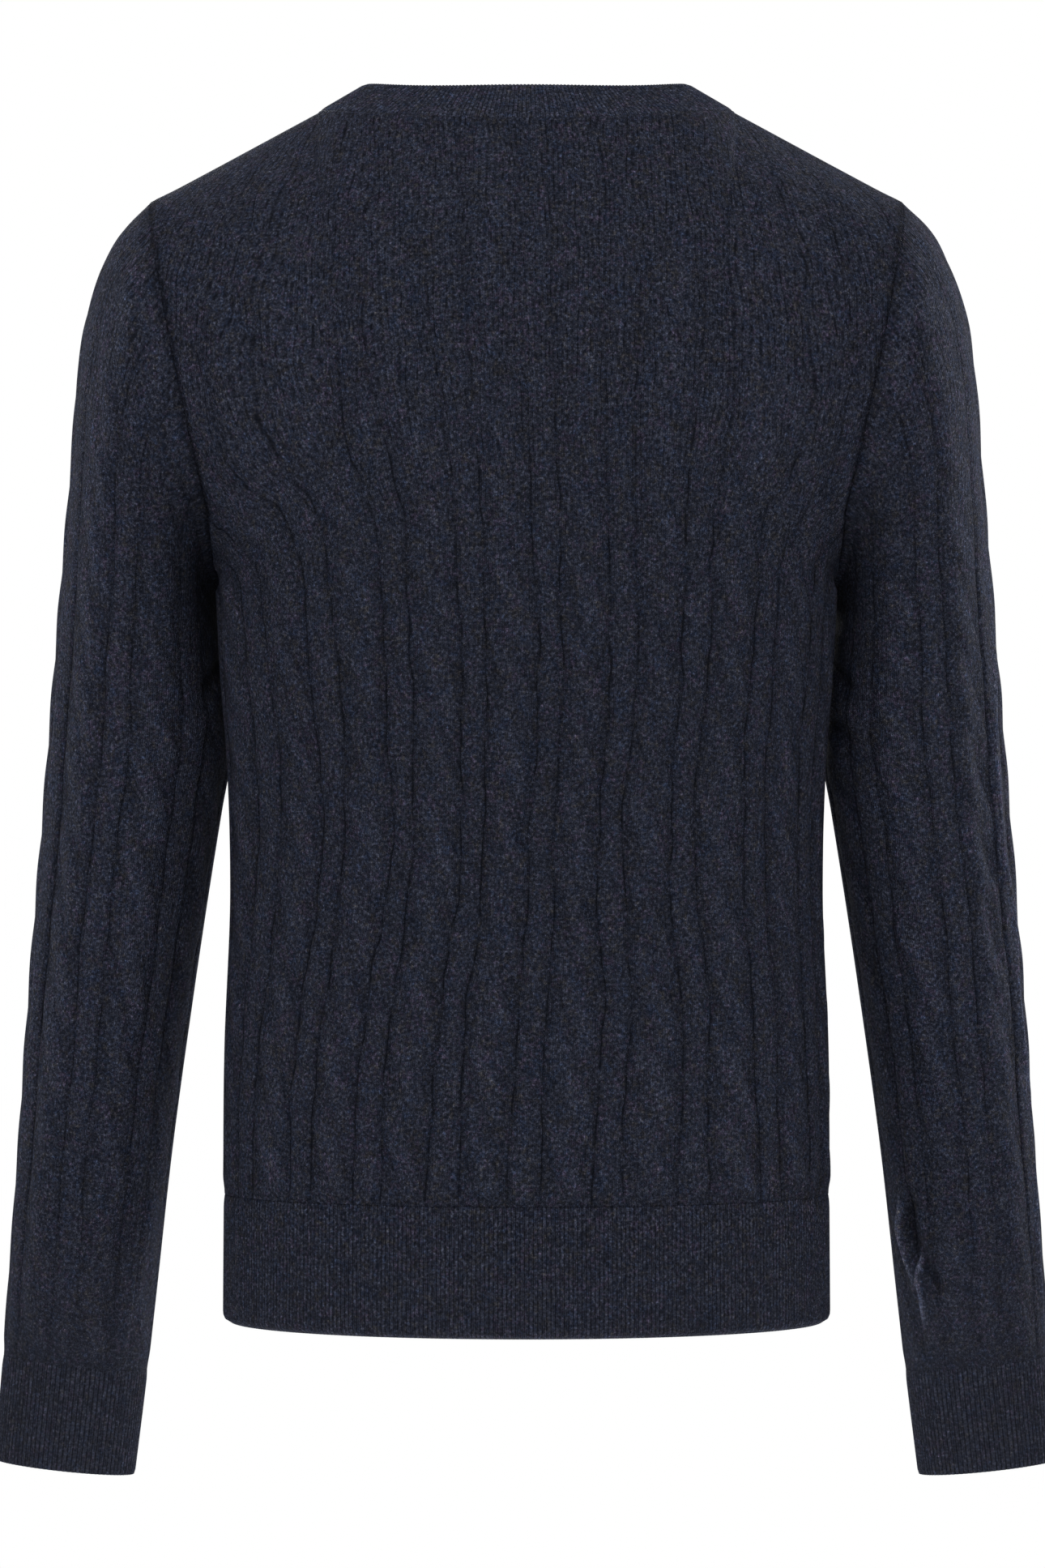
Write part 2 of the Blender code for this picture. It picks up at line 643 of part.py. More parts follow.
def build_front(name, side, material, collection):
    """Front panel from the side seam to the band; the right one mirrors the left one."""
    wall = Wall()
    outer = []
    inner = []
    kept = inner_levels()

    def placed(points):
        points = np.atleast_2d(points)
        return points if side > 0 else mirror_points(points)

    for height in (HEM_LEVEL, RIB_TOP):
        seam, thick = side_edge(height, True)
        place, edge, rise, outward = front_edge_point(height)
        places, points = fine_row(SIDE_SEAM, place, height, seam, edge - rise * GAP / 2)
        outer.append((height, wall.row(places, placed(points))))
    for height in LOWER_LEVELS + UPPER_LEVELS:
        seam, thick = side_edge(height, True)
        place, edge, rise, outward = front_edge_point(height)
        pattern = column_points(SIDE_SEAM, place - EDGE_MARGIN)
        points = panel_interior(pattern, height, side, False)
        points = np.vstack([seam, points, edge - rise * edge_gap(height)])
        places = [SIDE_SEAM] + pattern[:, 0].tolist() + [place]
        outer.append((height, wall.row(places, placed(points))))
    for height in [HEM_LEVEL, RIB_TOP] + LOWER_LEVELS[1:] + UPPER_LEVELS:
        if height not in kept and height not in (HEM_LEVEL, RIB_TOP):
            continue
        seam, thick = side_edge(height, True)
        place, edge, rise, outward = front_edge_point(height)
        step = HEM_INNER_STEP if height == HEM_LEVEL else INNER_STEP
        pattern = inner_places(SIDE_SEAM, place - EDGE_MARGIN / 2, step)
        points = panel_interior(pattern, height, side, True)
        face = body_normal(np.array([place]), height)[0]
        corner = edge - rise * edge_gap(height) - face * WALL
        points = np.vstack([seam - thick * WALL, points, corner])
        places = [SIDE_SEAM] + pattern[:, 0].tolist() + [place]
        inner.append((height, wall.row(places, placed(points))))
    line = shoulder_line(np.array(SHOULDER_PLACES))[::-1] - np.array([0.0, GAP / 2, 0.0])
    line[-1] -= band_rise(np.array([1.0]))[0][0] * edge_gap(0.0)
    line[0] -= np.array([GAP / 2, 0.0, 0.0])
    neck_u = NECK_POINT[0] / SHOULDER[0]
    span = COLUMNS_AROUND / 2 - SIDE_SEAM
    u = neck_u + (1 - neck_u) * np.array(SHOULDER_PLACES)[::-1]
    places = COLUMNS_AROUND / 2 - u * span
    for sheet, depth in ((outer, 0.0), (inner, WALL)):
        sheet.append((0.0, wall.row(places, placed(line - SHOULDER_THICKNESS * depth))))
    close_open_wall(wall, outer, inner)
    return wall.build(name, material, collection)


# ------------------------------------------------------------------ bands and buttons
BAND_LEVELS = [HEM_LEVEL, RIB_TOP] + LOWER_LEVELS + UPPER_LEVELS + [0.0]
BAND_STEPS = (0.0, 0.25, 0.5, 0.75, 1.0)   # rows across the band
BAND_BULGE = 0.8                           # middle of the band above its edges


def band_lift(height, across, over):
    """Offset of a front band: the upper one rises over the lower one towards its free edge."""
    spread = float(np.interp(height, (V_LEVEL + 60.0, -60.0), (1.0, 0.0)))
    slope = (WALL + GAP + 0.1) * spread
    return slope * across if over else -slope * across


def band_point(height, across, over, depth):
    """Point of a left-hand band: across runs from the seam to the free edge."""
    place, point, rise, outward = front_edge_point(height)
    reach = GAP / 2 + (BAND_WIDTH - GAP / 2) * across
    lift = band_lift(height, across, over)
    bulge = BAND_BULGE * math.sin(math.pi * across) if depth == 0 else 0.0
    if not over:
        bulge = 0.0
    half_width = smooth(TORSO, 1, max(height, HEM_LEVEL))
    radius = half_width**2 / smooth(TORSO, 3, height)
    spread = float(np.interp(height, (V_LEVEL + 60.0, -60.0), (1.0, 0.0)))
    drop = reach**2 / (2 * radius) * spread
    return point + rise * reach + outward * (lift - depth + bulge - drop)


def build_band(name, side, material, collection):
    """Front band from the hem up to the shoulder seam; the left one lies over the right."""
    wall = Wall()
    over = side > 0
    outer = []
    inner = []
    for sheet, depth in ((outer, 0.0), (inner, WALL)):
        for height in BAND_LEVELS:
            points = np.array([band_point(height, c, over, depth) for c in BAND_STEPS])
            if height == 0.0:
                points[:, 1] -= GAP / 2
            if side < 0:
                points = mirror_points(points)
            sheet.append((height, wall.row(BAND_STEPS, points)))
    close_open_wall(wall, outer, inner)
    return wall.build(name, material, collection)


NECKBAND_RIBS = 72         # ridges of the back neckband's 1x1 rib
NECKBAND_ROWS = (0.0, 0.2, 1.0)


def build_neckband(material, collection):
    """Back neckband between the two shoulder seams, its ribs across it."""
    wall = Wall()
    turn = np.linspace(-math.pi / 2, math.pi / 2, 2 * NECKBAND_RIBS + 1)
    ridge = np.where(np.arange(len(turn)) % 2 == 1, FINE_RIB_RISE, 0.0)
    coarse = np.arcsin(np.array(NECK_PLACES + (1.0,)))
    coarse = np.concatenate([-coarse[:0:-1], coarse])
    coarse_ridge = np.zeros(len(coarse))
    sheets = []
    for depth in (0.0, WALL):
        sheet = []
        for across in NECKBAND_ROWS:
            plain = across == 0.0 or depth > 0
            angles = coarse if plain else turn
            rises = coarse_ridge if plain else ridge
            share = np.abs(np.sin(angles))
            rise, outward = band_rise(share)
            reach = GAP / 2 + (BAND_WIDTH - GAP / 2) * across
            points = neckline(share) + rise * reach + outward * (rises - depth)[:, None]
            points[0, 1] += GAP / 2
            points[-1, 1] += GAP / 2
            points = np.where(angles[:, None] < 0, mirror_points(points), points)
            sheet.append((across, wall.row(angles, points)))
        sheets.append(sheet)
    close_open_wall(wall, sheets[0], sheets[1])
    return wall.build("neckband", material, collection)


# shares of the button's radius and thickness
BUTTON_PROFILE = (
    (0.0, 0.0),
    (0.8, 0.0),
    (1.0, 0.35),
    (0.97, 0.8),
    (0.82, 1.0),
    (0.66, 0.72),
    (0.0, 0.72),
)
LOWEST_BUTTON = 26.0       # above the hem's edge
TOP_BUTTON = 12.0          # below the bottom of the V
WELD = 0.00002


def build_button(index, material, collection):
    """Four-hole button with a rounded rim, lying on the upper band."""
    low = HEM_LEVEL + LOWEST_BUTTON
    high = V_LEVEL - TOP_BUTTON
    height = low + (high - low) * index / (BUTTON_COUNT - 1)
    seat = band_point(height, 0.5, True, 0.0) * MM
    outward = body_normal(np.array([COLUMNS_AROUND / 2 - 0.02]), height)[0]
    outward[0] = 0.0
    mesh = bpy.data.meshes.new("button_profile")
    points = [(BUTTON_RADIUS * MM * r, 0.0, BUTTON_THICKNESS * MM * t) for r, t in BUTTON_PROFILE]
    cage = bmesh.new()
    corners = [cage.verts.new(p) for p in points]
    for low_corner, high_corner in zip(corners, corners[1:]):
        cage.edges.new((low_corner, high_corner))
    bmesh.ops.spin(cage, geom=cage.verts[:] + cage.edges[:], cent=(0, 0, 0), axis=(0, 0, 1),
                   angle=2 * math.pi, steps=12, use_merge=True)
    bmesh.ops.remove_doubles(cage, verts=cage.verts, dist=WELD)
    bmesh.ops.recalc_face_normals(cage, faces=cage.faces)
    cage.to_mesh(mesh)
    cage.free()
    mesh.materials.append(material)
    mesh.shade_smooth()
    button = bpy.data.objects.new(f"button_{index + 1}", mesh)
    button.location = seat + outward * (GAP + 0.1) * MM
    button.rotation_mode = "QUATERNION"
    button.rotation_quaternion = Vector((0, 0, 1)).rotation_difference(Vector(unit(outward)))
    collection.objects.link(button)
    return button


# ------------------------------------------------------------------ sleeves
SLEEVE_RIB_FALL = SLEEVE_END - CUFF
SLEEVE_ROWS = 26           # half cable repeats between the armhole and the cuff
CUFF_RIBS = 50
INNER_COLUMNS = 14         # columns of the sleeve's plain inner wall
SLEEVE_HEAD_ROWS = 6       # rows near the armhole in which the inner wall keeps every level


def sleeve_pattern(side):
    """Cable pattern points round a sleeve: angle, rises and lean."""
    rows = []
    for k in range(SLEEVE_COLUMNS):
        for place, at_crossing, between, lean in COLUMN:
            turn = math.radians(SLEEVE_RIB_ANGLE) + 2 * math.pi * (k + place) / SLEEVE_COLUMNS
            rows.append((turn % (2 * math.pi), at_crossing, between, lean))
    rows.sort()
    return np.array(rows)


def build_sleeve(name, side, material, collection):
    """Sleeve from the armhole seam to the cuff; the right one mirrors the left one."""
    wall = Wall()
    outer = []
    inner = []

    def placed(points):
        return points if side > 0 else mirror_points(points)

    shares = np.array([0.0] + [1 - h / UNDERARM for h in UPPER_LEVELS] + [1.0])
    back_turn = math.pi * (1 - shares[::-1])
    front_turn = math.pi * (1 + shares[1:-1])
    seam_turn = np.concatenate([back_turn, front_turn])
    seam = np.vstack([armhole(shares[::-1]), armhole(shares[1:-1], True)])
    thick = np.vstack([
        armhole_thickness(shares[::-1], False, True),
        armhole_thickness(shares[1:-1], True, True),
    ])
    seam = seam + np.array([GAP / 2, 0.0, 0.0])
    outer.append(wall.row(seam_turn, placed(seam)))
    inner.append(wall.row(seam_turn, placed(seam - thick * WALL)))

    pattern = sleeve_pattern(side)
    falls = np.linspace(0.0, SLEEVE_RIB_FALL, SLEEVE_ROWS + 1)[1:]
    coarse = np.linspace(0.0, 2 * math.pi, INNER_COLUMNS + 1)[:-1]
    for number, fall in enumerate(falls):
        if number == len(falls) - 1:
            fall = fall - SEAM_EASE
        wave = 0.5 + 0.5 * math.cos(math.pi * number)
        rise = pattern[:, 1] * wave + pattern[:, 2] * (1 - wave)
        room = min(1.0, number / 3.0)
        rise = rise * (0.45 + 0.55 * min(1.0, number / 5.0))
        if number == len(falls) - 1:
            rise = np.full(len(pattern), SEAM_RISE)
            room = 0.0
        shift = -pattern[:, 3] * STRAND_LEAN * room * -side
        points = np.zeros((len(pattern), 3))
        for step in sorted(set(shift.tolist())):
            same = shift == step
            spot = pattern[same, 0]
            level = fall + step
            lifted = sleeve_normal(spot, level) * rise[same][:, None]
            points[same] = sleeve_ring(spot, level) + lifted
        outer.append(wall.row(pattern[:, 0], placed(points)))
        if number % 2 == 1 or number < SLEEVE_HEAD_ROWS:
            points = sleeve_ring(coarse, fall) - sleeve_normal(coarse, fall) * WALL
            inner.append(wall.row(coarse, placed(points)))
    fine = np.linspace(0.0, 2 * math.pi, 2 * CUFF_RIBS + 1)[:-1]
    ridge = np.where(np.arange(len(fine)) % 2 == 1, FINE_RIB_RISE, 0.0)
    for fall in (SLEEVE_RIB_FALL, SLEEVE_END):
        points = sleeve_ring(fine, fall) + sleeve_normal(fine, fall) * ridge[:, None]
        outer.append(wall.row(fine, placed(points)))
    points = sleeve_ring(coarse, SLEEVE_END) - sleeve_normal(coarse, SLEEVE_END) * WALL
    inner.append(wall.row(coarse, placed(points)))
    close_tube_wall(wall, outer, inner, 2 * math.pi)
    return wall.build(name, material, collection)


# ------------------------------------------------------------------ the cardigan
def make_material(name, colour, roughness):
    """Plain Principled material of one kind of piece."""
    material = bpy.data.materials.new(name)
    material.use_nodes = True
    shader = material.node_tree.nodes["Principled BSDF"]
    shader.inputs["Base Color"].default_value = colour
    shader.inputs["Roughness"].default_value = roughness
    shader.inputs["Metallic"].default_value = 0.0
    return material


def main():
    """Clears the scene and makes every piece."""
    for old in list(bpy.data.objects):
        bpy.data.objects.remove(old, do_unlink=True)
    collection = bpy.data.collections.new("cable_knit_cardigan")
    bpy.context.scene.collection.children.link(collection)
    knit = make_material("wool_knit", YARN, 0.95)
    rib = make_material("rib_knit", YARN, 0.95)
    horn = make_material("button_horn", BUTTON_COLOUR, 0.35)
    build_back(knit, collection)
    build_front("front_left", 1.0, knit, collection)
    build_front("front_right", -1.0, knit, collection)
    build_sleeve("sleeve_left", 1.0, knit, collection)
    build_sleeve("sleeve_right", -1.0, knit, collection)
    build_band("band_left", 1.0, rib, collection)
    build_band("band_right", -1.0, rib, collection)
    build_neckband(rib, collection)
    for index in range(BUTTON_COUNT):
        build_button(index, horn, collection)


main()
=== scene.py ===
"""Cable knit cardigan in worn form with nobody in it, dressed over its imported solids.

The knit is laid over the same surfaces as the solids: the body is followed round in cable
columns from the middle of the back, the sleeves round their rings. Sizes are in millimetres and
MM turns them into metres when a mesh is made. +Z is up, the fronts face -Y, the wearer's left
is +X, and the photograph looks at the back.
"""
import math

import bpy
import numpy as np
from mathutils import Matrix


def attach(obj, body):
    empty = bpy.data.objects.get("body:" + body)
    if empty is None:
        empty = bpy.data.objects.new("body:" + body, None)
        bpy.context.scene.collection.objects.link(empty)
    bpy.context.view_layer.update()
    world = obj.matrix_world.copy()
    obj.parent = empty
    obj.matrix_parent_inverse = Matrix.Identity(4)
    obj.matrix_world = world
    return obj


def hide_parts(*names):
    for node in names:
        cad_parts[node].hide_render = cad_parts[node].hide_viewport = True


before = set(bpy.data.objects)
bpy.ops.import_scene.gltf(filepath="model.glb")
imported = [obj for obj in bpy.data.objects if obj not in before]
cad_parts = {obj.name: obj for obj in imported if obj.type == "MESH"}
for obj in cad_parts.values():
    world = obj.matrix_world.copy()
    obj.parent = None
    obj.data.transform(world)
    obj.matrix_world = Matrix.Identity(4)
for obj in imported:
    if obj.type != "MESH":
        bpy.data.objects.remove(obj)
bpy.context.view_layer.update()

# ================================================================== camera, light and floor
# The cardigan hangs at shoulder height over a white studio floor, seen square on from behind.
# A soft light hangs over the seen side, a weak one stands beside the camera, a small one lights
# each sleeve's outer edge and one stands before the fronts.
CAMERA_PLACE = (0.0022, 3.1, -0.3624)
FRAME_HEIGHT = 0.8534      # what the camera sees at the object's depth, in metres
SENSOR = 24.0
FLOOR_LEVEL = -1.45
FLOOR_HALF = 2.2
LAMP_AIM = (0.0, 0.0, -0.36)
ROOM = (0.29, 1.10)        # how bright the white room is for the cloth, level and overhead; the
                           # camera sees it as full white
LIGHTS = (
    # name, place, size, watts
    ("key", (0.1, 1.9, 2.0), 0.9, 50.0),
    ("fill", (0.8, 2.9, 0.7), 1.2, 5.0),
    ("edge_right", (-2.0, -1.25, 0.3), 0.5, 78.0),
    ("edge_left", (2.0, -1.25, 0.3), 0.5, 40.0),
    ("front", (0.5, -3.0, 1.1), 1.0, 50.0),
)

lens = bpy.data.cameras.new("photo_camera")
lens.sensor_fit = "VERTICAL"
lens.sensor_height = SENSOR
lens.lens = SENSOR * CAMERA_PLACE[1] / FRAME_HEIGHT
camera = bpy.data.objects.new("photo_camera", lens)
camera.location = CAMERA_PLACE
camera.rotation_euler = (math.radians(90), 0.0, math.radians(180))
bpy.context.scene.collection.objects.link(camera)
bpy.context.scene.camera = camera
bpy.context.scene.view_settings.view_transform = "Standard"

for light_name, place, size, watts in LIGHTS:
    lamp = bpy.data.lights.new(light_name, "AREA")
    lamp.shape = "DISK"
    lamp.size = size
    lamp.energy = watts
    light = bpy.data.objects.new(light_name, lamp)
    light.location = place
    aim = np.array(LAMP_AIM) - np.array(place)
    light.rotation_euler = (
        math.atan2(math.hypot(aim[0], aim[1]), -aim[2]),
        0.0,
        math.atan2(-aim[0], aim[1]),
    )
    bpy.context.scene.collection.objects.link(light)

studio = bpy.data.worlds.new("studio")
studio.use_nodes = True
room = studio.node_tree.nodes["Background"]
room.inputs["Color"].default_value = (1.0, 1.0, 1.0, 1.0)
seen, way, level, overhead, strength = (
    studio.node_tree.nodes.new(f"ShaderNode{kind}")
    for kind in ("LightPath", "TexCoord", "SeparateXYZ", "MapRange", "MapRange")
)
overhead.inputs["To Min"].default_value = ROOM[0]
overhead.inputs["To Max"].default_value = ROOM[1]
for source, target in (
    (way.outputs["Generated"], level.inputs["Vector"]),
    (level.outputs["Z"], overhead.inputs["Value"]),
    (overhead.outputs["Result"], strength.inputs["To Min"]),
    (seen.outputs["Is Camera Ray"], strength.inputs["Value"]),
    (strength.outputs["Result"], room.inputs["Strength"]),
):
    studio.node_tree.links.new(source, target)
bpy.context.scene.world = studio

floor_mesh = bpy.data.meshes.new("studio_floor")
floor_mesh.from_pydata(
    [(x * FLOOR_HALF, y * FLOOR_HALF, FLOOR_LEVEL) for x, y in ((-1, -1), (1, -1), (1, 1), (-1, 1))],
    [],
    [(0, 1, 2, 3)],
)
floor_paint = bpy.data.materials.new("white_floor")
floor_paint.use_nodes = True
floor_shader = floor_paint.node_tree.nodes["Principled BSDF"]
floor_shader.inputs["Base Color"].default_value = (0.75, 0.75, 0.75, 1.0)
floor_shader.inputs["Roughness"].default_value = 0.9
floor_shader.inputs["Emission Color"].default_value = (1.0, 1.0, 1.0, 1.0)
floor_shader.inputs["Emission Strength"].default_value = 0.85
floor_mesh.materials.append(floor_paint)
floor = bpy.data.objects.new("studio_floor", floor_mesh)
bpy.context.scene.collection.objects.link(floor)

# ================================================================== back panel
# The real back is one flat-knit piece of dark navy melange wool: cables of two strands that
# cross every 43.5 mm, narrow plain ribs between them, and a purl gutter on each side of a rib.
# It is linked to the sleeves and the fronts, and its cables are drawn flat over the shoulders.
MM = 0.001
WALL = 2.0
HEM_LEVEL = -654.0
RIB_TOP = -584.3
UNDERARM = -258.0
SHOULDER = (203.4, -45.6)
NECK_POINT = (113.0, 3.0)
BACK_NECK = (66.0, -7.5)
COLUMNS_AROUND = 20
SIDE_SEAM = 5.825
CABLE_REPEAT = 43.5
ARMHOLE_BOW = 4.0
UNDERARM_SWELL = 5.0
ARMHOLE_DEPTH = (80.0, 42.0)   # how far the armhole reaches behind and before the shoulder
SHOULDER_Y = -2.0
TORSO_MIDDLE = 6.0
TORSO = (
    # height, half_width, back, front
    (-656.0, 164.5, 108.0, 110.0),
    (-584.0, 164.0, 107.0, 110.0),
    (-507.0, 163.2, 104.0, 107.0),
    (-419.0, 160.0, 101.0, 104.0),
    (-348.0, 162.0, 106.0, 109.0),
    (-300.0, 165.8, 110.0, 114.0),
    (-258.0, 168.0, 112.0, 116.0),
)
UPPER = (
    # share of the height, back, front
    (0.00, 118.0, -110.0),
    (0.25, 121.0, -107.0),
    (0.50, 117.0, -96.0),
    (0.70, 107.0, -80.0),
    (0.85, 93.0, -66.0),
    (1.00, 70.0, -50.0),
)
# how far the cable columns are drawn towards the wearer's right, in columns, as the photograph
# shows: the cloth hangs a little askew over the waist
DRIFT_PLACES = (-5.8, -3.0, -2.0, -1.0, 0.0, 1.0, 2.0, 3.0, 5.8)
DRIFT = (
    # height, then the drift at each of the places above
    (-656.0, 0.00, 0.20, 0.08, 0.00, -0.03, -0.03, 0.00, 0.05, 0.00),
    (-565.0, 0.00, 0.24, 0.09, 0.00, -0.03, -0.03, 0.00, 0.08, 0.00),
    (-519.0, 0.00, 0.18, 0.13, 0.06, 0.03, 0.03, 0.03, 0.08, 0.00),
    (-480.0, 0.00, 0.19, 0.14, 0.12, 0.08, 0.12, 0.16, 0.20, 0.00),
    (-428.0, 0.00, 0.10, 0.05, 0.09, 0.18, 0.26, 0.32, 0.38, 0.00),
    (-391.0, 0.00, 0.04, 0.00, 0.08, 0.21, 0.35, 0.46, 0.48, 0.00),
    (-345.0, 0.00, 0.03, 0.01, 0.13, 0.29, 0.37, 0.48, 0.50, 0.00),
    (-313.0, 0.00, 0.05, 0.09, 0.17, 0.29, 0.40, 0.48, 0.46, 0.00),
    (-262.0, 0.05, 0.06, 0.08, 0.16, 0.28, 0.37, 0.44, 0.38, 0.10),
    (-220.0, 0.45, 0.12, 0.08, 0.15, 0.26, 0.34, 0.36, 0.26, -0.30),
    (-176.0, 0.85, 0.22, 0.12, 0.13, 0.20, 0.22, 0.16, 0.04, -0.75),
    (-140.0, 0.90, 0.26, 0.14, 0.12, 0.16, 0.14, 0.06, -0.08, -0.85),
    (0.0, 0.60, 0.25, 0.12, 0.05, 0.05, 0.00, -0.03, -0.12, -0.60),
)
GUTTER = 0.175             # a purl gutter's place in its cable column
GROOVE = 0.45              # its depth
SHADE = 0.20               # painted light: how much lighter the crests are painted than the hollows, per mm
RIB_RISE = 1.0
STRAND_RISE = 1.15
FRONT_STRAND = 0.7         # what the strand in front of a crossing gains, and the other loses
STRAND_SWAY = 0.135        # how far a strand swings from the cable's middle, in columns
STRAND_HALF = 0.150
FLAT_LEVELS = (-300.0, -200.0, -130.0, -30.0)
FLAT_SHARES = (1.0, 0.65, 0.35, 0.20)   # what is left of the relief at those levels
WALES = 20                 # stitches across a column
COURSE = 1.75              # height of a stitch


def smooth(rows, at):
    """Cubic Hermite curve through each column of a table, over the table's first column."""
    table = np.array(rows, dtype=float)
    if table[0, 0] > table[-1, 0]:
        table = table[::-1]
    xs = table[:, 0]
    at = np.clip(np.asarray(at, dtype=float), xs[0], xs[-1])
    k = np.clip(np.searchsorted(xs, at) - 1, 0, len(xs) - 2)
    width = xs[k + 1] - xs[k]
    t = (at - xs[k]) / width
    curves = []
    for ys in table.T[1:]:
        slopes = np.gradient(ys, xs)
        curves.append(
            ys[k] * (2 * t**3 - 3 * t**2 + 1)
            + slopes[k] * width * (t**3 - 2 * t**2 + t)
            + ys[k + 1] * (3 * t**2 - 2 * t**3)
            + slopes[k + 1] * width * (t**3 - t**2)
        )
    return curves


def along_line(points):
    """Length along a line of points, from 0 at its first point."""
    return np.append(0.0, np.cumsum(np.linalg.norm(np.diff(points, axis=0), axis=1)))


def torso_ring(s, height):
    """Level section: two half ellipses, followed by length in cable columns from the back."""
    half_width, back, front = smooth(TORSO, height)

    def oval(turn):
        depth = np.where(turn < math.pi / 2, back, front)
        return np.stack([half_width * np.sin(turn), TORSO_MIDDLE + depth * np.cos(turn)], axis=-1)

    turn = np.linspace(0.0, math.pi, 241)
    length = along_line(oval(turn))
    angle = np.interp(np.abs(s), length / length[-1] * COLUMNS_AROUND / 2, turn)
    points = oval(angle)
    return np.stack([np.sign(s) * points[..., 0], points[..., 1], np.full_like(angle, height)], axis=-1)


def underarm_swell(share):
    """A half sine over the lowest three tenths of the back armhole."""
    return UNDERARM_SWELL * np.sin(math.pi * np.clip(np.asarray(share) / 0.3, 0.0, 1.0))


def armhole(share, front=False):
    """Half an oval between the underarm and the shoulder point, by the share of the height."""
    turn = math.pi * np.asarray(share, dtype=float)[..., None]
    low = torso_ring(np.array([SIDE_SEAM]), UNDERARM)[0]
    high = np.array([SHOULDER[0], SHOULDER_Y, SHOULDER[1]])
    chord = low + (high - low) * (1 - np.cos(turn)) / 2
    if front:
        return chord + np.sin(turn) * np.array([0.0, -ARMHOLE_DEPTH[1], 0.0])
    points = chord + np.sin(turn) * np.array([ARMHOLE_BOW, ARMHOLE_DEPTH[0], 0.0])
    points[..., 0] += underarm_swell(share)
    return points


def top_edge(u):
    """Neckline as a quarter ellipse up to the neck point, then a straight shoulder seam."""
    u = np.abs(u)
    neck_share = NECK_POINT[0] / SHOULDER[0]
    inside = np.clip(u / neck_share, 0.0, 1.0)
    outside = np.clip((u - neck_share) / (1 - neck_share), 0.0, 1.0)
    y = BACK_NECK[0] * np.sqrt(1 - inside**2) + SHOULDER_Y * outside
    z = BACK_NECK[1] + (NECK_POINT[1] - BACK_NECK[1]) * inside**2
    return y, z + (SHOULDER[1] - NECK_POINT[1]) * outside


def section_place(y, front):
    """Column place at which the underarm section has depth y."""
    depth = TORSO[-1][3] if front else TORSO[-1][2]
    turn = math.acos(max(-1.0, min(1.0, (y - TORSO_MIDDLE) / depth)))
    places = np.linspace(0.0, COLUMNS_AROUND / 2, 201)
    ring = torso_ring(places, UNDERARM)
    turns = np.arctan2(ring[:, 0] / TORSO[-1][1], (ring[:, 1] - TORSO_MIDDLE) / depth)
    return float(np.interp(turn, turns, places))


def upper_surface(s, share, front):
    """The underarm section, narrowed by the armhole and rounded over on to the top edge."""
    centre = COLUMNS_AROUND / 2 if front else 0.0
    span = abs(centre - SIDE_SEAM)
    u = np.abs(np.abs(s) - centre) / span
    edge = armhole(np.array(share), front)
    meet = armhole(np.array(min(share, 0.5)), front)
    seam_place = section_place(meet[1], front)
    narrow = abs(centre - seam_place) / span
    base = torso_ring(np.abs(centre - u * span * narrow), UNDERARM)
    seam = torso_ring(np.array([seam_place]), UNDERARM)[0]
    weight = np.clip(u, 0.0, 1.0) ** 2
    top_y, top_z = top_edge(u)
    top_y = -np.abs(top_y) if front else top_y
    spread = share**2
    x = base[:, 0] * (1 - spread) + SHOULDER[0] * u * spread
    x += weight * (edge[0] - seam[0] * (1 - spread) - SHOULDER[0] * spread)
    late = max(0.0, (share - 0.55) / 0.45)
    fade = math.sqrt(max(0.0, 1 - late**2))
    column = 2 if front else 1
    y = base[:, 1] * fade + top_y * (1 - fade)
    y += weight * (edge[1] - seam[1] * fade - SHOULDER_Y * (1 - fade))
    y += (1 - weight) * (smooth(UPPER, share)[column - 1] - UPPER[0][column]) * fade
    soft_z = BACK_NECK[1] + (SHOULDER[1] - BACK_NECK[1]) * u**2
    z = UNDERARM + (soft_z + (top_z - soft_z) * share**4 - UNDERARM) * share
    z += weight * (edge[2] - UNDERARM - (SHOULDER[1] - UNDERARM) * share)
    return np.stack([np.sign(s) * x, y, z], axis=-1)


def body_row(s, height):
    """One row of the body's plain surface, level or rising towards the shoulders."""
    if height <= UNDERARM:
        return torso_ring(s, height)
    share = 1 - height / UNDERARM
    result = np.zeros((len(s), 3))
    front = np.abs(s) > SIDE_SEAM + 1e-6
    if (~front).any():
        result[~front] = upper_surface(s[~front], share, False)
    if front.any():
        result[front] = upper_surface(s[front], share, True)
    return result


def outward_normals(points, middle, around=False):
    """Cross product of the grid's two differences, turned away from the given middle line."""
    if around:
        across = np.roll(points, -1, axis=1) - np.roll(points, 1, axis=1)
    else:
        across = np.gradient(points, axis=1)
    normal = np.cross(across, np.gradient(points, axis=0))
    normal /= np.maximum(np.linalg.norm(normal, axis=-1, keepdims=True), 1e-9)
    return -normal if (normal * (points - middle)).sum() < 0 else normal


def soft_noise(x, y, seed):
    """Sum of six slow sine waves in seeded directions, between about -1 and 1."""
    waves = np.random.default_rng(seed).uniform(0.0, 1.0, (6, 3))
    total = 0.0
    for direction, speed, start in waves:
        angle = 2 * math.pi * direction
        pace = 0.5 + 1.2 * speed
        total = total + np.sin(pace * (x * math.cos(angle) + y * math.sin(angle)) + 6.28 * start)
    return total / 3.0


def bell(off, width):
    """1 on a line, falling softly to nothing within about two widths of it."""
    return np.exp(-((off / width) ** 2))


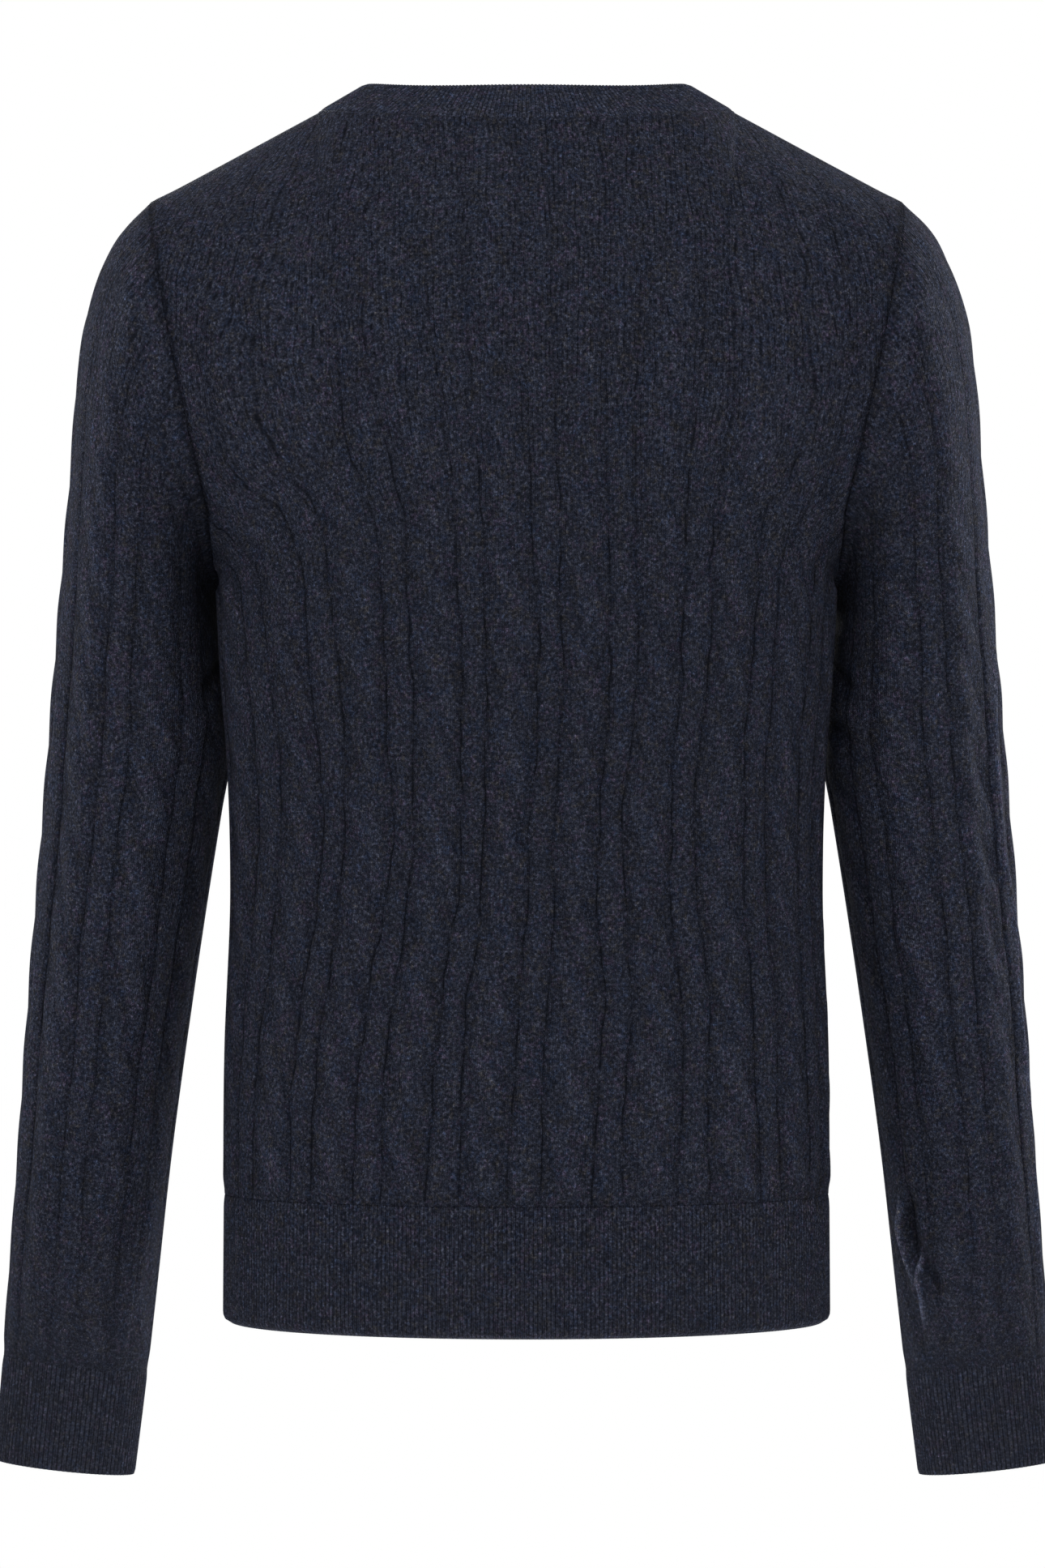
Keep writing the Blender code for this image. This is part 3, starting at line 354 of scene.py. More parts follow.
def cable_relief(place, height):
    """Height of the knit over its plain surface, by cable column and level.

    Ribs are rounded bars on whole columns and gutters narrow grooves beside them. A cable is
    the higher of two rounded strands that swing as a cosine about its middle, half a turn
    apart, and the strand that climbs towards higher columns passes in front.
    """
    column = place - np.round(place)
    rib = RIB_RISE * np.sqrt(np.clip(1 - (column / (GUTTER - 0.012)) ** 2, 0.0, 1.0)) ** 0.7
    groove = bell(np.abs(column) - GUTTER, 0.028) * GROOVE
    middle = np.mod(place, 1.0) - 0.5
    phase = math.pi * height / CABLE_REPEAT
    cable = np.zeros_like(place)
    for side in (1.0, -1.0):
        centre = side * STRAND_SWAY * np.cos(phase)
        front = -side * np.sin(phase)
        round_top = np.sqrt(np.clip(1 - ((middle - centre) / STRAND_HALF) ** 2, 0.0, 1.0))
        cable = np.maximum(cable, (STRAND_RISE + FRONT_STRAND * front) * round_top**0.8)
    return np.maximum(rib, cable) - groove


def ease(at, start, end):
    """Smooth step from 0 at start to 1 at end."""
    t = np.clip((at - start) / (end - start), 0.0, 1.0)
    return t * t * (3 - 2 * t)


def drift(s, height):
    """Drift table read with smooth steps across and Hermite curves up the body."""
    columns = np.stack(smooth(DRIFT, height), axis=-1)
    place = np.clip(np.searchsorted(DRIFT_PLACES, s) - 1, 0, len(DRIFT_PLACES) - 2)
    low = np.array(DRIFT_PLACES)[place]
    high = np.array(DRIFT_PLACES)[place + 1]
    t = (s - low) / (high - low)
    t = t * t * (3 - 2 * t)
    first = np.take_along_axis(columns, place[..., None], axis=-1)[..., 0]
    second = np.take_along_axis(columns, place[..., None] + 1, axis=-1)[..., 0]
    return first * (1 - t) + second * t


def down_rows(values, grid):
    """One value for each row of a grid, repeated along its rows."""
    return np.broadcast_to(values[:, None], grid.shape[:2])


def mirrored(points, side):
    """The left piece's points as they are, or on the other side of the body."""
    return points if side > 0 else points * np.array([-1.0, 1.0, 1.0])


def squares(ids, around):
    """Quads between neighbouring rows and columns of a grid of point numbers."""
    right = np.roll(ids, -1, axis=1) if around else ids[:, 1:]
    left = ids if around else ids[:, :-1]
    return np.stack([left[:-1], right[:-1], right[1:], left[1:]], axis=-1).reshape(-1, 4)


def rim(fine, coarse, picks, around):
    """Triangles that join a border to every few points of the border inside the wall."""
    made = []
    for k in range(len(coarse) if around else len(coarse) - 1):
        end = picks[k + 1] if k + 1 < len(picks) else len(fine)
        after = coarse[(k + 1) % len(coarse)]
        half = (picks[k] + end) // 2
        for f in range(picks[k], end):
            near = coarse[k] if f < half else after
            made.append((fine[(f + 1) % len(fine)], fine[f], near))
        made.append((fine[half % len(fine)], coarse[k], after))
    return made


def faces_in(points, normal):
    """Whether quads in grid order face against the normals, judged near the grid's middle."""
    r, c = points.shape[0] // 2 - 1, points.shape[1] // 2 - 1
    turned = np.cross(points[r, c + 1] - points[r, c], points[r + 1, c] - points[r, c])
    return np.dot(turned, normal[r, c]) < 0


class Knit:
    """Collects the grids of one piece and makes its mesh, with the knit as its UV map."""

    def __init__(self):
        self.points = []
        self.maps = []
        self.quads = []
        self.triangles = []
        self.count = 0

    def number(self, points, knit):
        """Takes in a grid of points with its knit map and gives the points' numbers."""
        ids = np.arange(points.shape[0] * points.shape[1]).reshape(points.shape[:2]) + self.count
        self.points.append(points.reshape(-1, 3))
        self.maps.append(knit.reshape(-1, 2))
        self.count += ids.size
        return ids

    def tube(self, points, normal):
        """A closed sheet of quads, turned so that its faces look along the normals given."""
        quads = squares(self.number(points, np.zeros(points.shape[:2] + (2,))), True)
        self.quads.append(quads[:, ::-1] if faces_in(points, normal) else quads)

    def wall(self, plain, normal, relief, wales, up, side=1.0, around=False, step=4, thick=WALL):
        """Outer sheet in relief, a coarser plain inner sheet, and rims that close the wall
        between them. Wales and up, in stitches and millimetres, are its knit map."""
        plain, normal = mirrored(plain, side), mirrored(normal, side)
        outer = plain + normal * relief[..., None]
        knit = np.stack([wales, up / COURSE], axis=-1)
        rows = np.unique(np.append(np.arange(0, outer.shape[0], step), outer.shape[0] - 1))
        columns = np.arange(0, outer.shape[1], step)
        if not around:
            columns = np.unique(np.append(columns, outer.shape[1] - 1))
        pick = np.ix_(rows, columns)
        fine = self.number(outer, knit)
        coarse = self.number((plain - normal * thick)[pick], knit[pick])
        rims = rim(fine[0], coarse[0], columns, around)
        rims += [t[::-1] for t in rim(fine[-1], coarse[-1], columns, around)]
        if not around:
            rims += rim(fine[:, -1], coarse[:, -1], rows, False)
            rims += [t[::-1] for t in rim(fine[:, 0], coarse[:, 0], rows, False)]
        rims = np.array(rims)
        quads = np.concatenate([squares(fine, around), squares(coarse, around)[:, ::-1]])
        way = -1 if faces_in(outer, normal) else 1
        self.quads.append(quads[:, ::way])
        self.triangles.append(rims[:, ::way])
        return self

    def make(self, name, material, slot, node=None, painted_shading=None):
        """Makes the object at the origin, smooth shaded, and dresses its node. The painted shading it
        is given is painted light on the outer sheet: lighter above 0, painted shade below 0."""
        points = np.concatenate(self.points) * MM
        quads = np.concatenate(self.quads)
        triangles = np.concatenate(self.triangles + [np.zeros((0, 3), dtype=int)]).astype(int)
        corners = np.concatenate([quads.ravel(), triangles.ravel()])
        starts = [np.arange(len(quads)) * 4, quads.size + np.arange(len(triangles)) * 3]
        mesh = bpy.data.meshes.new(name)
        mesh.vertices.add(len(points))
        mesh.vertices.foreach_set("co", points.ravel())
        mesh.loops.add(len(corners))
        mesh.loops.foreach_set("vertex_index", corners)
        mesh.polygons.add(len(quads) + len(triangles))
        mesh.polygons.foreach_set("loop_start", np.concatenate(starts))
        mesh.polygons.foreach_set("use_smooth", np.ones(len(mesh.polygons), dtype=bool))
        mesh.update(calc_edges=True)
        layer = mesh.uv_layers.new(name="knit")
        layer.data.foreach_set("uv", np.concatenate(self.maps)[corners].ravel())
        if painted_shading is not None:
            worn = np.zeros(len(points))
            worn[: painted_shading.size] = painted_shading.ravel()
            mesh.attributes.new("painted_shading", "FLOAT", "POINT").data.foreach_set("value", worn)
        mesh.materials.append(material)
        piece = bpy.data.objects.new(name, mesh)
        bpy.context.scene.collection.objects.link(piece)
        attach(piece, "root")
        if node:
            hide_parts(node)
        return piece


def plug(tree, item, socket):
    """Feeds a socket: a Value by a link, and a plain number or colour as it is."""
    if isinstance(item, Value):
        tree.links.new(item.socket, socket)
    else:
        socket.default_value = item


class Value:
    """A socket with Python's arithmetic: each operator adds one Math node."""

    def __init__(self, tree, socket):
        self.tree = tree
        self.socket = socket

    def math(self, operation, *others):
        node = self.tree.nodes.new("ShaderNodeMath")
        node.operation = operation
        for item, socket in zip((self,) + others, node.inputs):
            plug(self.tree, item, socket)
        return Value(self.tree, node.outputs[0])

    def __add__(self, other):
        return self.math("ADD", other)

    def __mul__(self, other):
        return self.math("MULTIPLY", other)

    def __sub__(self, other):
        return self.math("SUBTRACT", other)

    def __truediv__(self, other):
        return self.math("DIVIDE", other)

    def __rsub__(self, other):
        return (self * -1.0).math("ADD", other)

    __radd__ = __add__
    __rmul__ = __mul__

    def clamped(self):
        return self.math("MAXIMUM", 0.0).math("MINIMUM", 1.0)


class Finish:
    """A material being built: its tree, its shader and one way to add any node."""

    def __init__(self, name):
        self.material = bpy.data.materials.new(name)
        self.material.use_nodes = True
        self.tree = self.material.node_tree
        self.shader = self.tree.nodes["Principled BSDF"]

    def node(self, kind, settings=(), inputs=(), output=0):
        """Adds a node, sets its settings first, then its sockets by values or links."""
        node = self.tree.nodes.new(kind)
        for name, value in dict(settings).items():
            setattr(node, name, value)
        for name, value in dict(inputs).items():
            plug(self.tree, value, node.inputs[name])
        return Value(self.tree, node.outputs[output])

    def mix(self, factor, first, second):
        """Mixes two colours, each a Value or a plain colour."""
        inputs = {0: factor, 6: first, 7: second}
        return self.node("ShaderNodeMix", {"data_type": "RGBA"}, inputs, output=2)

    def scaled(self, colour, factor):
        """A colour times a number."""
        inputs = {0: colour, 3: factor}
        return self.node("ShaderNodeVectorMath", {"operation": "SCALE"}, inputs)

    def noise(self, place, scale, detail, roughness=0.5):
        inputs = {"Vector": place, "Scale": scale, "Detail": detail, "Roughness": roughness}
        return self.node("ShaderNodeTexNoise", inputs=inputs)

    def part(self, vector, axis):
        return self.node("ShaderNodeSeparateXYZ", inputs={"Vector": vector}, output=axis)

    def feed(self, socket, value):
        plug(self.tree, value, self.shader.inputs[socket])


YARN = (0.0176, 0.0200, 0.0310, 1.0)
BLUE_FIBRE = (0.0128, 0.0216, 0.0475, 1.0)
VIOLET_FIBRE = (0.0345, 0.0245, 0.0450, 1.0)
BROWN_FIBRE = (0.0260, 0.0225, 0.0175, 1.0)
DARK_TONE = (0.0070, 0.0088, 0.0165, 1.0)
PALE_TONE = (0.0560, 0.0600, 0.0790, 1.0)
WORN_TONE = (0.0180, 0.0195, 0.0275, 1.0)
# painted shade for the knit's recesses: stitch hollows, purl gutters and furrows between wales
RECESS_SHADE = (0.0030, 0.0036, 0.0056, 1.0)
TONE_STITCH = 4.4          # how strongly the tone follows the noise at stitch size
TONE_FIBRE = 2.2
TONE_SHIFT = -0.08
CALM_LEVEL = -0.59         # metres; below it the cloth turns to its worn tone
CALM = 0.42


def yarn_colour(finish):
    """Melange of fine fibres: noises at stitch size pick blue, violet and brown, and a brighter
    or darker tone is laid over them as the exponential of two finer noises. Towards the wrists
    and the hem the cloth is calmer."""
    place = finish.node("ShaderNodeTexCoord", output="Object")

    def speck(scale, detail, shift):
        """Noise on the object's own coordinates, moved aside so that no two are alike."""
        inputs = {"Vector": place, "Location": (shift, shift * 0.7, 0.0)}
        return finish.noise(finish.node("ShaderNodeMapping", inputs=inputs), scale, detail, 0.6)

    patch = (speck(110.0, 2.0, 1.9) - 0.5) * 3.6
    blue = ((speck(430.0, 1.0, 3.1) - 0.54) * 5.0 + patch).clamped()
    violet_patch = (speck(90.0, 1.0, 4.4) - 0.5) * 4.0
    violet = ((speck(460.0, 1.0, 5.7) - 0.56) * 6.0 + violet_patch).clamped()
    brown = ((speck(400.0, 1.0, 7.3) - 0.56) * 5.0 - patch).clamped()
    colour = finish.mix(blue * 0.75, YARN, BLUE_FIBRE)
    colour = finish.mix(violet * 0.7, colour, VIOLET_FIBRE)
    colour = finish.mix(brown * 0.75, colour, BROWN_FIBRE)
    tone = (speck(640.0, 1.0, 0.0) - 0.5) * TONE_STITCH
    tone = tone + (speck(1500.0, 0.0, 8.3) - 0.5) * TONE_FIBRE
    tone = tone - 0.35 * (patch * patch).clamped()
    tone = (tone + TONE_SHIFT).math("EXPONENT")
    neutral = finish.mix((tone * 0.25).clamped(), DARK_TONE, PALE_TONE)
    colour = finish.mix(0.4, finish.scaled(colour, tone), neutral)
    calm = ((CALM_LEVEL - finish.part(place, "Z")) * 9.0).clamped() * CALM
    colour = finish.mix(calm, colour, WORN_TONE)
    # painted light and shade: the colour is scaled by the mesh's attribute, lighter above 0 and darker
    # below 0
    painted_shading = finish.node("ShaderNodeAttribute", {"attribute_name": "painted_shading"}, output=2)
    return finish.scaled(colour, (painted_shading + 1.0).math("MAXIMUM", 0.25))


def knit_axes(finish):
    """The piece's knit map: stitches across and stitches up."""
    found = finish.node("ShaderNodeUVMap", {"uv_map": "knit"})
    return finish.part(found, "X"), finish.part(found, "Y")


def stitch_height(wale, course):
    """Knit stitches: two rounded legs in each wale, leaning outwards as they climb."""
    across = (wale.math("FRACT") - 0.5).math("ABSOLUTE")
    leg = ((across - 0.25) * 4.0).math("ABSOLUTE")
    climb = ((course + across * 1.3).math("FRACT") - 0.5).math("ABSOLUTE") * 2.0
    return (1.0 - leg * leg) * (1.0 - climb * climb * 0.7)


def finish_cloth(finish, colour, height, strength, distance):
    """Matte wool: its colour and its stitches as bump, with the constants on the shader."""
    finish.feed("Base Color", colour)
    finish.feed("Roughness", 0.95)
    finish.feed("Specular IOR Level", 0.03)
    inputs = {"Height": height, "Strength": strength, "Distance": distance}
    finish.feed("Normal", finish.node("ShaderNodeBump", inputs=inputs))
    return finish.material


def dashes(finish, wale, course, tall, cut):
    """Broken lines of painted shade between wales: a furrow at each whole wale, kept where a noise
    that is one wale wide and several courses tall is high."""
    inputs = {"X": (wale + 0.5).math("FLOOR"), "Y": course / tall}
    kept = finish.noise(finish.node("ShaderNodeCombineXYZ", inputs=inputs), 1.7, 1.0)
    furrow = (1.2 - ((wale + 0.5).math("FRACT") - 0.5).math("ABSOLUTE") * 4.0).clamped()
    return furrow * ((kept - cut) * 7.0).clamped()


def cable_cloth(gutter_depth):
    """Cable knit: melange yarn, stitch bump with painted shade in its hollows, painted shade in the
    purl gutters beside the ribs, and wale lines of painted shade that show where the cables are
    drawn flat towards the shoulders. Gutters fade at the wrists."""
    finish = Finish("wool_cable_knit")
    wale, course = knit_axes(finish)
    place = finish.node("ShaderNodeTexCoord", output="Object")
    level = finish.part(place, "Z")
    flat = ((level + 0.30) * 6.0).clamped()
    column = ((wale / float(WALES)).math("FRACT") - 0.5).math("ABSOLUTE")
    wander = finish.noise(place, 55.0, 2.0)
    shake = finish.noise(place, 190.0, 1.0)
    off_line = (column - (0.5 - GUTTER) + (shake - 0.5) * 0.03).math("ABSOLUTE")
    kept = (wander - 0.47) * 7.0 + 0.5 - flat * 0.8
    gutter = (1.3 - off_line / 0.016).clamped() * kept.clamped()
    gutter = gutter * ((level + 0.66) * 12.0).clamped()
    stitch = stitch_height(wale, course)
    # painted light: above the flat level the colour is painted up to a quarter lighter, for the light
    # from overhead
    colour = finish.scaled(yarn_colour(finish), flat * 0.25 + 1.0)
    # painted shade in the stitch hollows, the wale lines and the purl gutters
    colour = finish.mix((1.0 - stitch) * 0.22, colour, RECESS_SHADE)
    lines = dashes(finish, wale * 0.8, course, 4.0, 0.45) * (0.25 + 0.65 * flat)
    colour = finish.mix(lines * 0.8, colour, RECESS_SHADE)
    colour = finish.mix(gutter * gutter_depth, colour, RECESS_SHADE)
    return finish_cloth(finish, colour, stitch - gutter * 0.8 - lines * 0.7, 0.8, 0.0006)


def back_levels():
    """Levels of the back and the fronts, closer together towards the shoulders."""
    low = np.linspace(RIB_TOP, UNDERARM, 130, endpoint=False)
    t = np.linspace(0.0, 1.0, 98)
    share = 0.5 * t + 0.5 * np.sin(math.pi / 2 * t)
    return np.concatenate([low, UNDERARM * (1 - share)])


def cut_columns(plain, grid, heights):
    """Column places that stay parallel to the middle of the back, so the armhole cuts them off:
    above the underarm a place is the length along the row over the underarm's column width."""
    steps = np.linalg.norm(np.diff(plain, axis=1), axis=-1)
    run = np.concatenate([np.zeros((len(plain), 1)), np.cumsum(steps, axis=1)], axis=1)
    middle = grid.shape[1] // 2
    run = run - run[:, middle : middle + 1]
    width = run[np.argmin(np.abs(np.array(heights) - UNDERARM)), -1] / grid[0, -1]
    share = ease(np.array(heights), UNDERARM, UNDERARM + 4.0)[:, None]
    return grid * (1 - share) + run / width * share


def knit_over(plain, place, height, side_fade):
    """Normals, relief and painted shading of the cables over a plain surface: crests painted
    lighter, hollows in painted shade. They flatten step by step towards the shoulders and sink
    in at the rib and the top."""
    level = down_rows(height, place)
    normal = outward_normals(plain, np.array([0.0, 0.0, 1.0]) * plain[..., 2:3])
    flat = np.interp(level, FLAT_LEVELS, FLAT_SHARES)
    relief = cable_relief(place, level - RIB_TOP) * flat * side_fade
    relief = relief * ease(level, RIB_TOP, RIB_TOP + 10.0) * ease(-level, 0.0, 12.0)
    return normal, relief, SHADE * (relief - 0.9)


wool = cable_cloth(0.72)
levels = back_levels()
back_places = np.linspace(-SIDE_SEAM, SIDE_SEAM, 381)
back_plain = np.stack([body_row(back_places, h) for h in levels])
grid_s = np.broadcast_to(back_places, back_plain.shape[:2])
grid_h = down_rows(levels, back_plain)
# soft knitted columns waver: a slow wobble and a finer one, in columns
wobble = 0.026 * soft_noise(grid_s * 5.0, grid_h / 14.0, 4)
wobble = wobble + 0.016 * soft_noise(grid_s * 9.0, grid_h / 6.0, 9)
pattern_place = cut_columns(back_plain, grid_s, levels) + drift(grid_s, grid_h) + wobble
seam_fade = ease(SIDE_SEAM - np.abs(grid_s), 0.0, 0.12)
normal, relief, painted_shading = knit_over(back_plain, pattern_place, levels, seam_fade)
seams = back_plain[:, [0, -1]][:, (back_places > 0).astype(int)]
to_seam = np.linalg.norm(back_plain - seams, axis=-1)
# painted shade: a dark line along the armhole seams above the underarm
painted_shading = painted_shading - 0.45 * bell(to_seam, 3.0) * ease(grid_h, UNDERARM, UNDERARM + 30.0)
back_wall = Knit().wall(back_plain, normal, relief, pattern_place * WALES, grid_h)
back = back_wall.make("back_cloth", wool, "wool_knit", "back", painted_shading)

# ================================================================== hem rib
# The real hem is knitted first, as a 1x1 rib 70 mm deep in the same yarn, and the cables grow
# out of it. It runs round the body in the same three panels and ends in a firm cast-on edge.
RIB_PITCH = 2.4
RIB_RIDGE = 0.45
HEM_ROWS = 34
HEM_CURL = 6.0
RIB_WALL = 1.7
COLUMN_WIDTH = 44.7


def rib_cloth():
    """1x1 rib: melange yarn, knit wales as bumps and painted shade in the purl furrow between
    two wales.
    """
    finish = Finish("wool_fine_rib")
    wale, course = knit_axes(finish)
    off = (wale.math("FRACT") - 0.5).math("ABSOLUTE") * 2.0
    furrow = ((off - 0.50) * 2.2).clamped()
    leg = 1.0 - ((course + off * 0.5).math("FRACT") - 0.5).math("ABSOLUTE") * 2.0
    colour = yarn_colour(finish)
    lines = dashes(finish, wale + 0.5, course, 7.0, 0.44)
    # painted shade in the purl furrows and along the wale lines
    colour = finish.scaled(colour, 0.98 - furrow * 0.62)
    colour = finish.mix(lines * 0.6, colour, RECESS_SHADE)
    return finish_cloth(finish, colour, leg * 0.4 - furrow * 0.5 - lines * 0.4, 0.7, 0.0005)


def ridge(count):
    """Rounded ridges of a 1x1 rib, one for each whole step of the count."""
    return RIB_RIDGE * (1 - np.abs(2 * np.mod(count, 1.0) - 1.0) ** 2.2)


def rib_rise(number, below, above):
    """Ridges that rise from under the cables and thin out at the cast-on edge, by the distance
    below the cables and above the edge."""
    rise = ridge(number) * ease(below, -1.0, 8.0)
    return rise - 0.5 * ease(-above, -3.0, 0.0) - 0.6 * ease(-below, -2.0, 1.0)


def rib_strip(plain, heights, numbers):
    """Rib over a strip of the body, from the cast-on edge, which curls in, up to the cables."""
    normal = outward_normals(plain, np.array([0.0, 0.0, 1.0]) * plain[..., 2:3])
    level = down_rows(heights, plain)
    curl = np.clip((HEM_LEVEL + HEM_CURL - level) / HEM_CURL, 0.0, 1.0)
    plain = plain - normal * (4.0 * (1 - np.sqrt(1 - curl**2)))[..., None]
    number = np.broadcast_to(numbers, level.shape)
    rise = rib_rise(number, RIB_TOP - level, level - HEM_LEVEL)
    return Knit().wall(plain, normal, rise, number, level, thick=RIB_WALL)


rib_wool = rib_cloth()
hem_levels = np.linspace(HEM_LEVEL, RIB_TOP + 1.0, HEM_ROWS)
hem_count = round(2 * SIDE_SEAM * COLUMN_WIDTH / RIB_PITCH)
hem_share = np.linspace(0.0, 1.0, hem_count * 4 + 1)
hem_plain = np.stack([body_row(SIDE_SEAM * (2 * hem_share - 1), h) for h in hem_levels])
back_rib = rib_strip(hem_plain, hem_levels, hem_share * hem_count)
back_hem = back_rib.make("back_hem_rib", rib_wool, "wool_knit")

# ================================================================== fronts
# The real fronts are knitted as the back is and cut away along the V of the neck. They don't
# show in the photograph, so they carry the same cables, level with the back's.
V_LEVEL = -206.0
BAND_WIDTH = 30.0
PAST_SEAM = 2e-6            # starts a front's rows on the front's own side of the seam
SIDES = ((1.0, "left"), (-1.0, "right"))


def v_edge(height):
    """Half a band from the middle up to the V, then nearly straight out to the neck point."""
    share = (height - V_LEVEL) / -V_LEVEL
    if share <= 0:
        return BAND_WIDTH / 2
    return BAND_WIDTH / 2 + (NECK_POINT[0] - BAND_WIDTH / 2) * share**0.95


def front_place(height):
    """Column place where the front's sewn edge lies at a level."""
    places = np.linspace(SIDE_SEAM + 0.01, COLUMNS_AROUND / 2, 400)
    x = body_row(places, height)[:, 0]
    return float(np.interp(v_edge(height), x[::-1], places[::-1]))


def front_rows(heights, share):
    """Rows of the left front: their column places from the side seam to the sewn edge, what is
    left to that edge in millimetres, and the points."""
    ends = np.array([front_place(h) for h in heights])[:, None]
    places = SIDE_SEAM + PAST_SEAM + (ends - SIDE_SEAM) * share
    points = np.stack([body_row(row, h) for row, h in zip(places, heights)])
    return places, (ends - places) * COLUMN_WIDTH, points


front_grid, to_edge, front_plain = front_rows(levels, np.linspace(0.0, 1.0, 200))
front_height = down_rows(levels, front_grid)
front_wobble = 0.02 * soft_noise(front_grid * 5.0, front_height / 14.0, 8)
front_fade = ease(front_grid - SIDE_SEAM, 0.0, 0.12) * ease(to_edge, 0.0, 4.0)
front_ribs = round((COLUMNS_AROUND / 2 - SIDE_SEAM) * COLUMN_WIDTH / RIB_PITCH - 5)
front_share = np.linspace(0.0, 1.0, front_ribs * 4 + 1)
front_hem_plain = front_rows(hem_levels, front_share)[2]
for side, side_name in SIDES:
    plain = mirrored(front_plain, side)
    place = (front_grid + front_wobble) * side
    normal, relief, painted_shading = knit_over(plain, place, levels, front_fade)
    wall = Knit().wall(plain, normal, relief, place * WALES, front_height)
    front = wall.make(f"front_cloth_{side_name}", wool, "wool_knit", f"front_{side_name}", painted_shading)
    rib = rib_strip(mirrored(front_hem_plain, side), hem_levels, front_share * front_ribs)
    front_hem = rib.make(f"front_hem_rib_{side_name}", rib_wool, "wool_knit")

# ================================================================== sleeves
# Each real sleeve is a tube of the same knit with seven cables round it, linked into the
# armhole, wrinkled at the elbow's inside and above the cuff, and ended by a 59 mm rib cuff.
SLEEVE_COLUMNS = 7
SLEEVE_RIB_ANGLE = 79.0
SLEEVE_END = 690.0
CUFF_TOP = SLEEVE_END - 59.0
CUFF_RIBS = 92
SLEEVE_REPEAT = 48.5
TILTED_LENGTH = 326.0       # length over which the rings turn level
TILTED_DROP = 122.0         # how far the inner line comes down meanwhile
SLEEVE_OUTER = (
    # height, x, y, back, front
    (-45.6, 203.4, -2.0, 80.0, 42.0),
    (-62.1, 219.4, -4.0, 79.0, 44.0),
    (-79.6, 229.6, -7.0, 78.0, 46.0),
    (-105.8, 239.1, -11.0, 76.0, 48.0),
    (-136.4, 244.2, -15.0, 74.0, 50.0),
    (-189.1, 248.7, -22.0, 70.0, 52.0),
    (-259.6, 255.1, -30.0, 65.0, 53.0),
    (-375.1, 265.0, -40.0, 57.0, 53.0),
    (-464.3, 272.5, -44.0, 50.0, 49.0),
    (-553.7, 279.5, -47.0, 43.0, 43.0),
    (-643.3, 286.5, -50.0, 35.0, 35.0),
    (-676.0, 289.0, -51.0, 29.0, 29.0),
    (-735.7, 294.4, -52.0, 25.0, 25.0),
)
SLEEVE_INNER = (
    # height, x, y
    (-258.0, 163.5, -30.0),
    (-262.0, 166.5, -32.0),
    (-270.0, 167.5, -35.0),
    (-288.0, 166.5, -38.0),
    (-320.0, 164.5, -41.0),
    (-348.3, 164.2, -43.0),
    (-375.1, 168.8, -44.0),
    (-419.6, 176.0, -45.0),
    (-464.3, 182.8, -46.0),
    (-553.7, 195.1, -48.0),
    (-643.3, 205.1, -50.0),
    (-688.1, 210.2, -51.0),
    (-744.0, 217.2, -52.0),
)
# creases of a sleeve: each is a ridge or trough along a curve through a few
# spots, given as angle round from the outer edge over the back, then length down the sleeve
CREASES = {
    "right": (
        # half_width, height, painted light, angle, length, angle, length, ...
        (2.8, 1.8, 0.7, 24, 196, 20, 239, 29, 275, 32, 320, 32, 356, 23, 390, 27, 424, 26, 470),
        (2.6, 1.8, 0.9, 28, 452, 18, 500, 20, 536, 25, 576, 24, 606),
        (4.5, -0.9, -0.28, 12, 214, 8, 239, 14, 268, 17, 320, 18, 358, 8, 390, 13, 424, 12, 461, 4, 505),
        (4.0, -0.6, -0.08, 44, 210, 50, 340, 44, 460, 38, 540),
        (1.7, 2.0, 2.2, 150, 539, 155, 556, 148, 573, 142, 582),
        (1.6, 2.0, 2.4, 133, 569, 138, 579, 136, 592, 135, 605),
        (5.5, -3.2, -0.50, 139, 534, 139, 556, 128, 575, 118, 586),
        (5.0, -1.5, -0.15, 160, 560, 152, 590, 146, 615),
        (3.0, 1.6, 0.3, 168, 188, 158, 200, 150, 222),
        (4.0, -2.0, -0.25, 172, 178, 160, 192, 140, 226),
        (4.5, 1.4, 0.1, 170, 222, 150, 240, 126, 268),
        (6.0, -1.4, -0.10, 172, 240, 148, 262, 122, 300),
        (9.0, -1.6, -0.05, 52, 230, 46, 330, 52, 430),
        (7.0, 1.0, 0.05, 100, 540, 110, 580, 122, 612),
        (9.0, 1.0, 0.0, 74, 470, 84, 520, 96, 570),
        (9.0, 1.8, 0.0, 300, 250, 275, 300, 250, 340),
        (9.0, -1.8, 0.0, 310, 290, 280, 335, 240, 380),
        (8.0, 1.4, 0.0, 330, 420, 318, 490, 300, 560),
        (7.0, -1.6, 0.0, 250, 520, 236, 560, 220, 612),
    ),
    "left": (
        (3.5, 1.2, 0.25, 20, 200, 26, 280, 18, 360, 26, 440, 20, 520, 24, 600),
        (6.0, -1.0, -0.05, 34, 220, 40, 360, 36, 480, 40, 600),
        (4.0, -1.8, -0.20, 170, 172, 158, 192, 142, 226),
        (5.0, 1.2, 0.1, 168, 212, 150, 236, 132, 268),
        (5.0, 1.3, 0.15, 146, 540, 142, 575, 132, 612),
        (7.0, -1.4, -0.10, 132, 520, 122, 560, 112, 600),
        (9.0, -1.0, 0.0, 56, 260, 50, 360, 54, 460),
        (9.0, 1.6, 0.0, 300, 260, 275, 308, 250, 346),
        (9.0, -1.7, 0.0, 310, 300, 280, 345, 240, 388),
        (8.0, 1.3, 0.0, 326, 440, 314, 505, 300, 570),
        (7.0, -1.4, 0.0, 250, 530, 236, 570, 222, 614),
    ),
}
REACH = 44.0                # mean radius of a sleeve, for sizes across it
# a sleeve's painted shade as the angle of its middle and its width: beside the body above the
# elbow, and turned towards the body below it; SEAM_SHADE darkens the armhole seam
BODY_SHADE = (2.65, 0.74)
FACING_SHADE = (2.95, 0.45)
SEAM_SHADE = 0.30


def whole_turn(count):
    """Angles of a full turn, without its end."""
    return np.linspace(0.0, 2 * math.pi, count, endpoint=False)


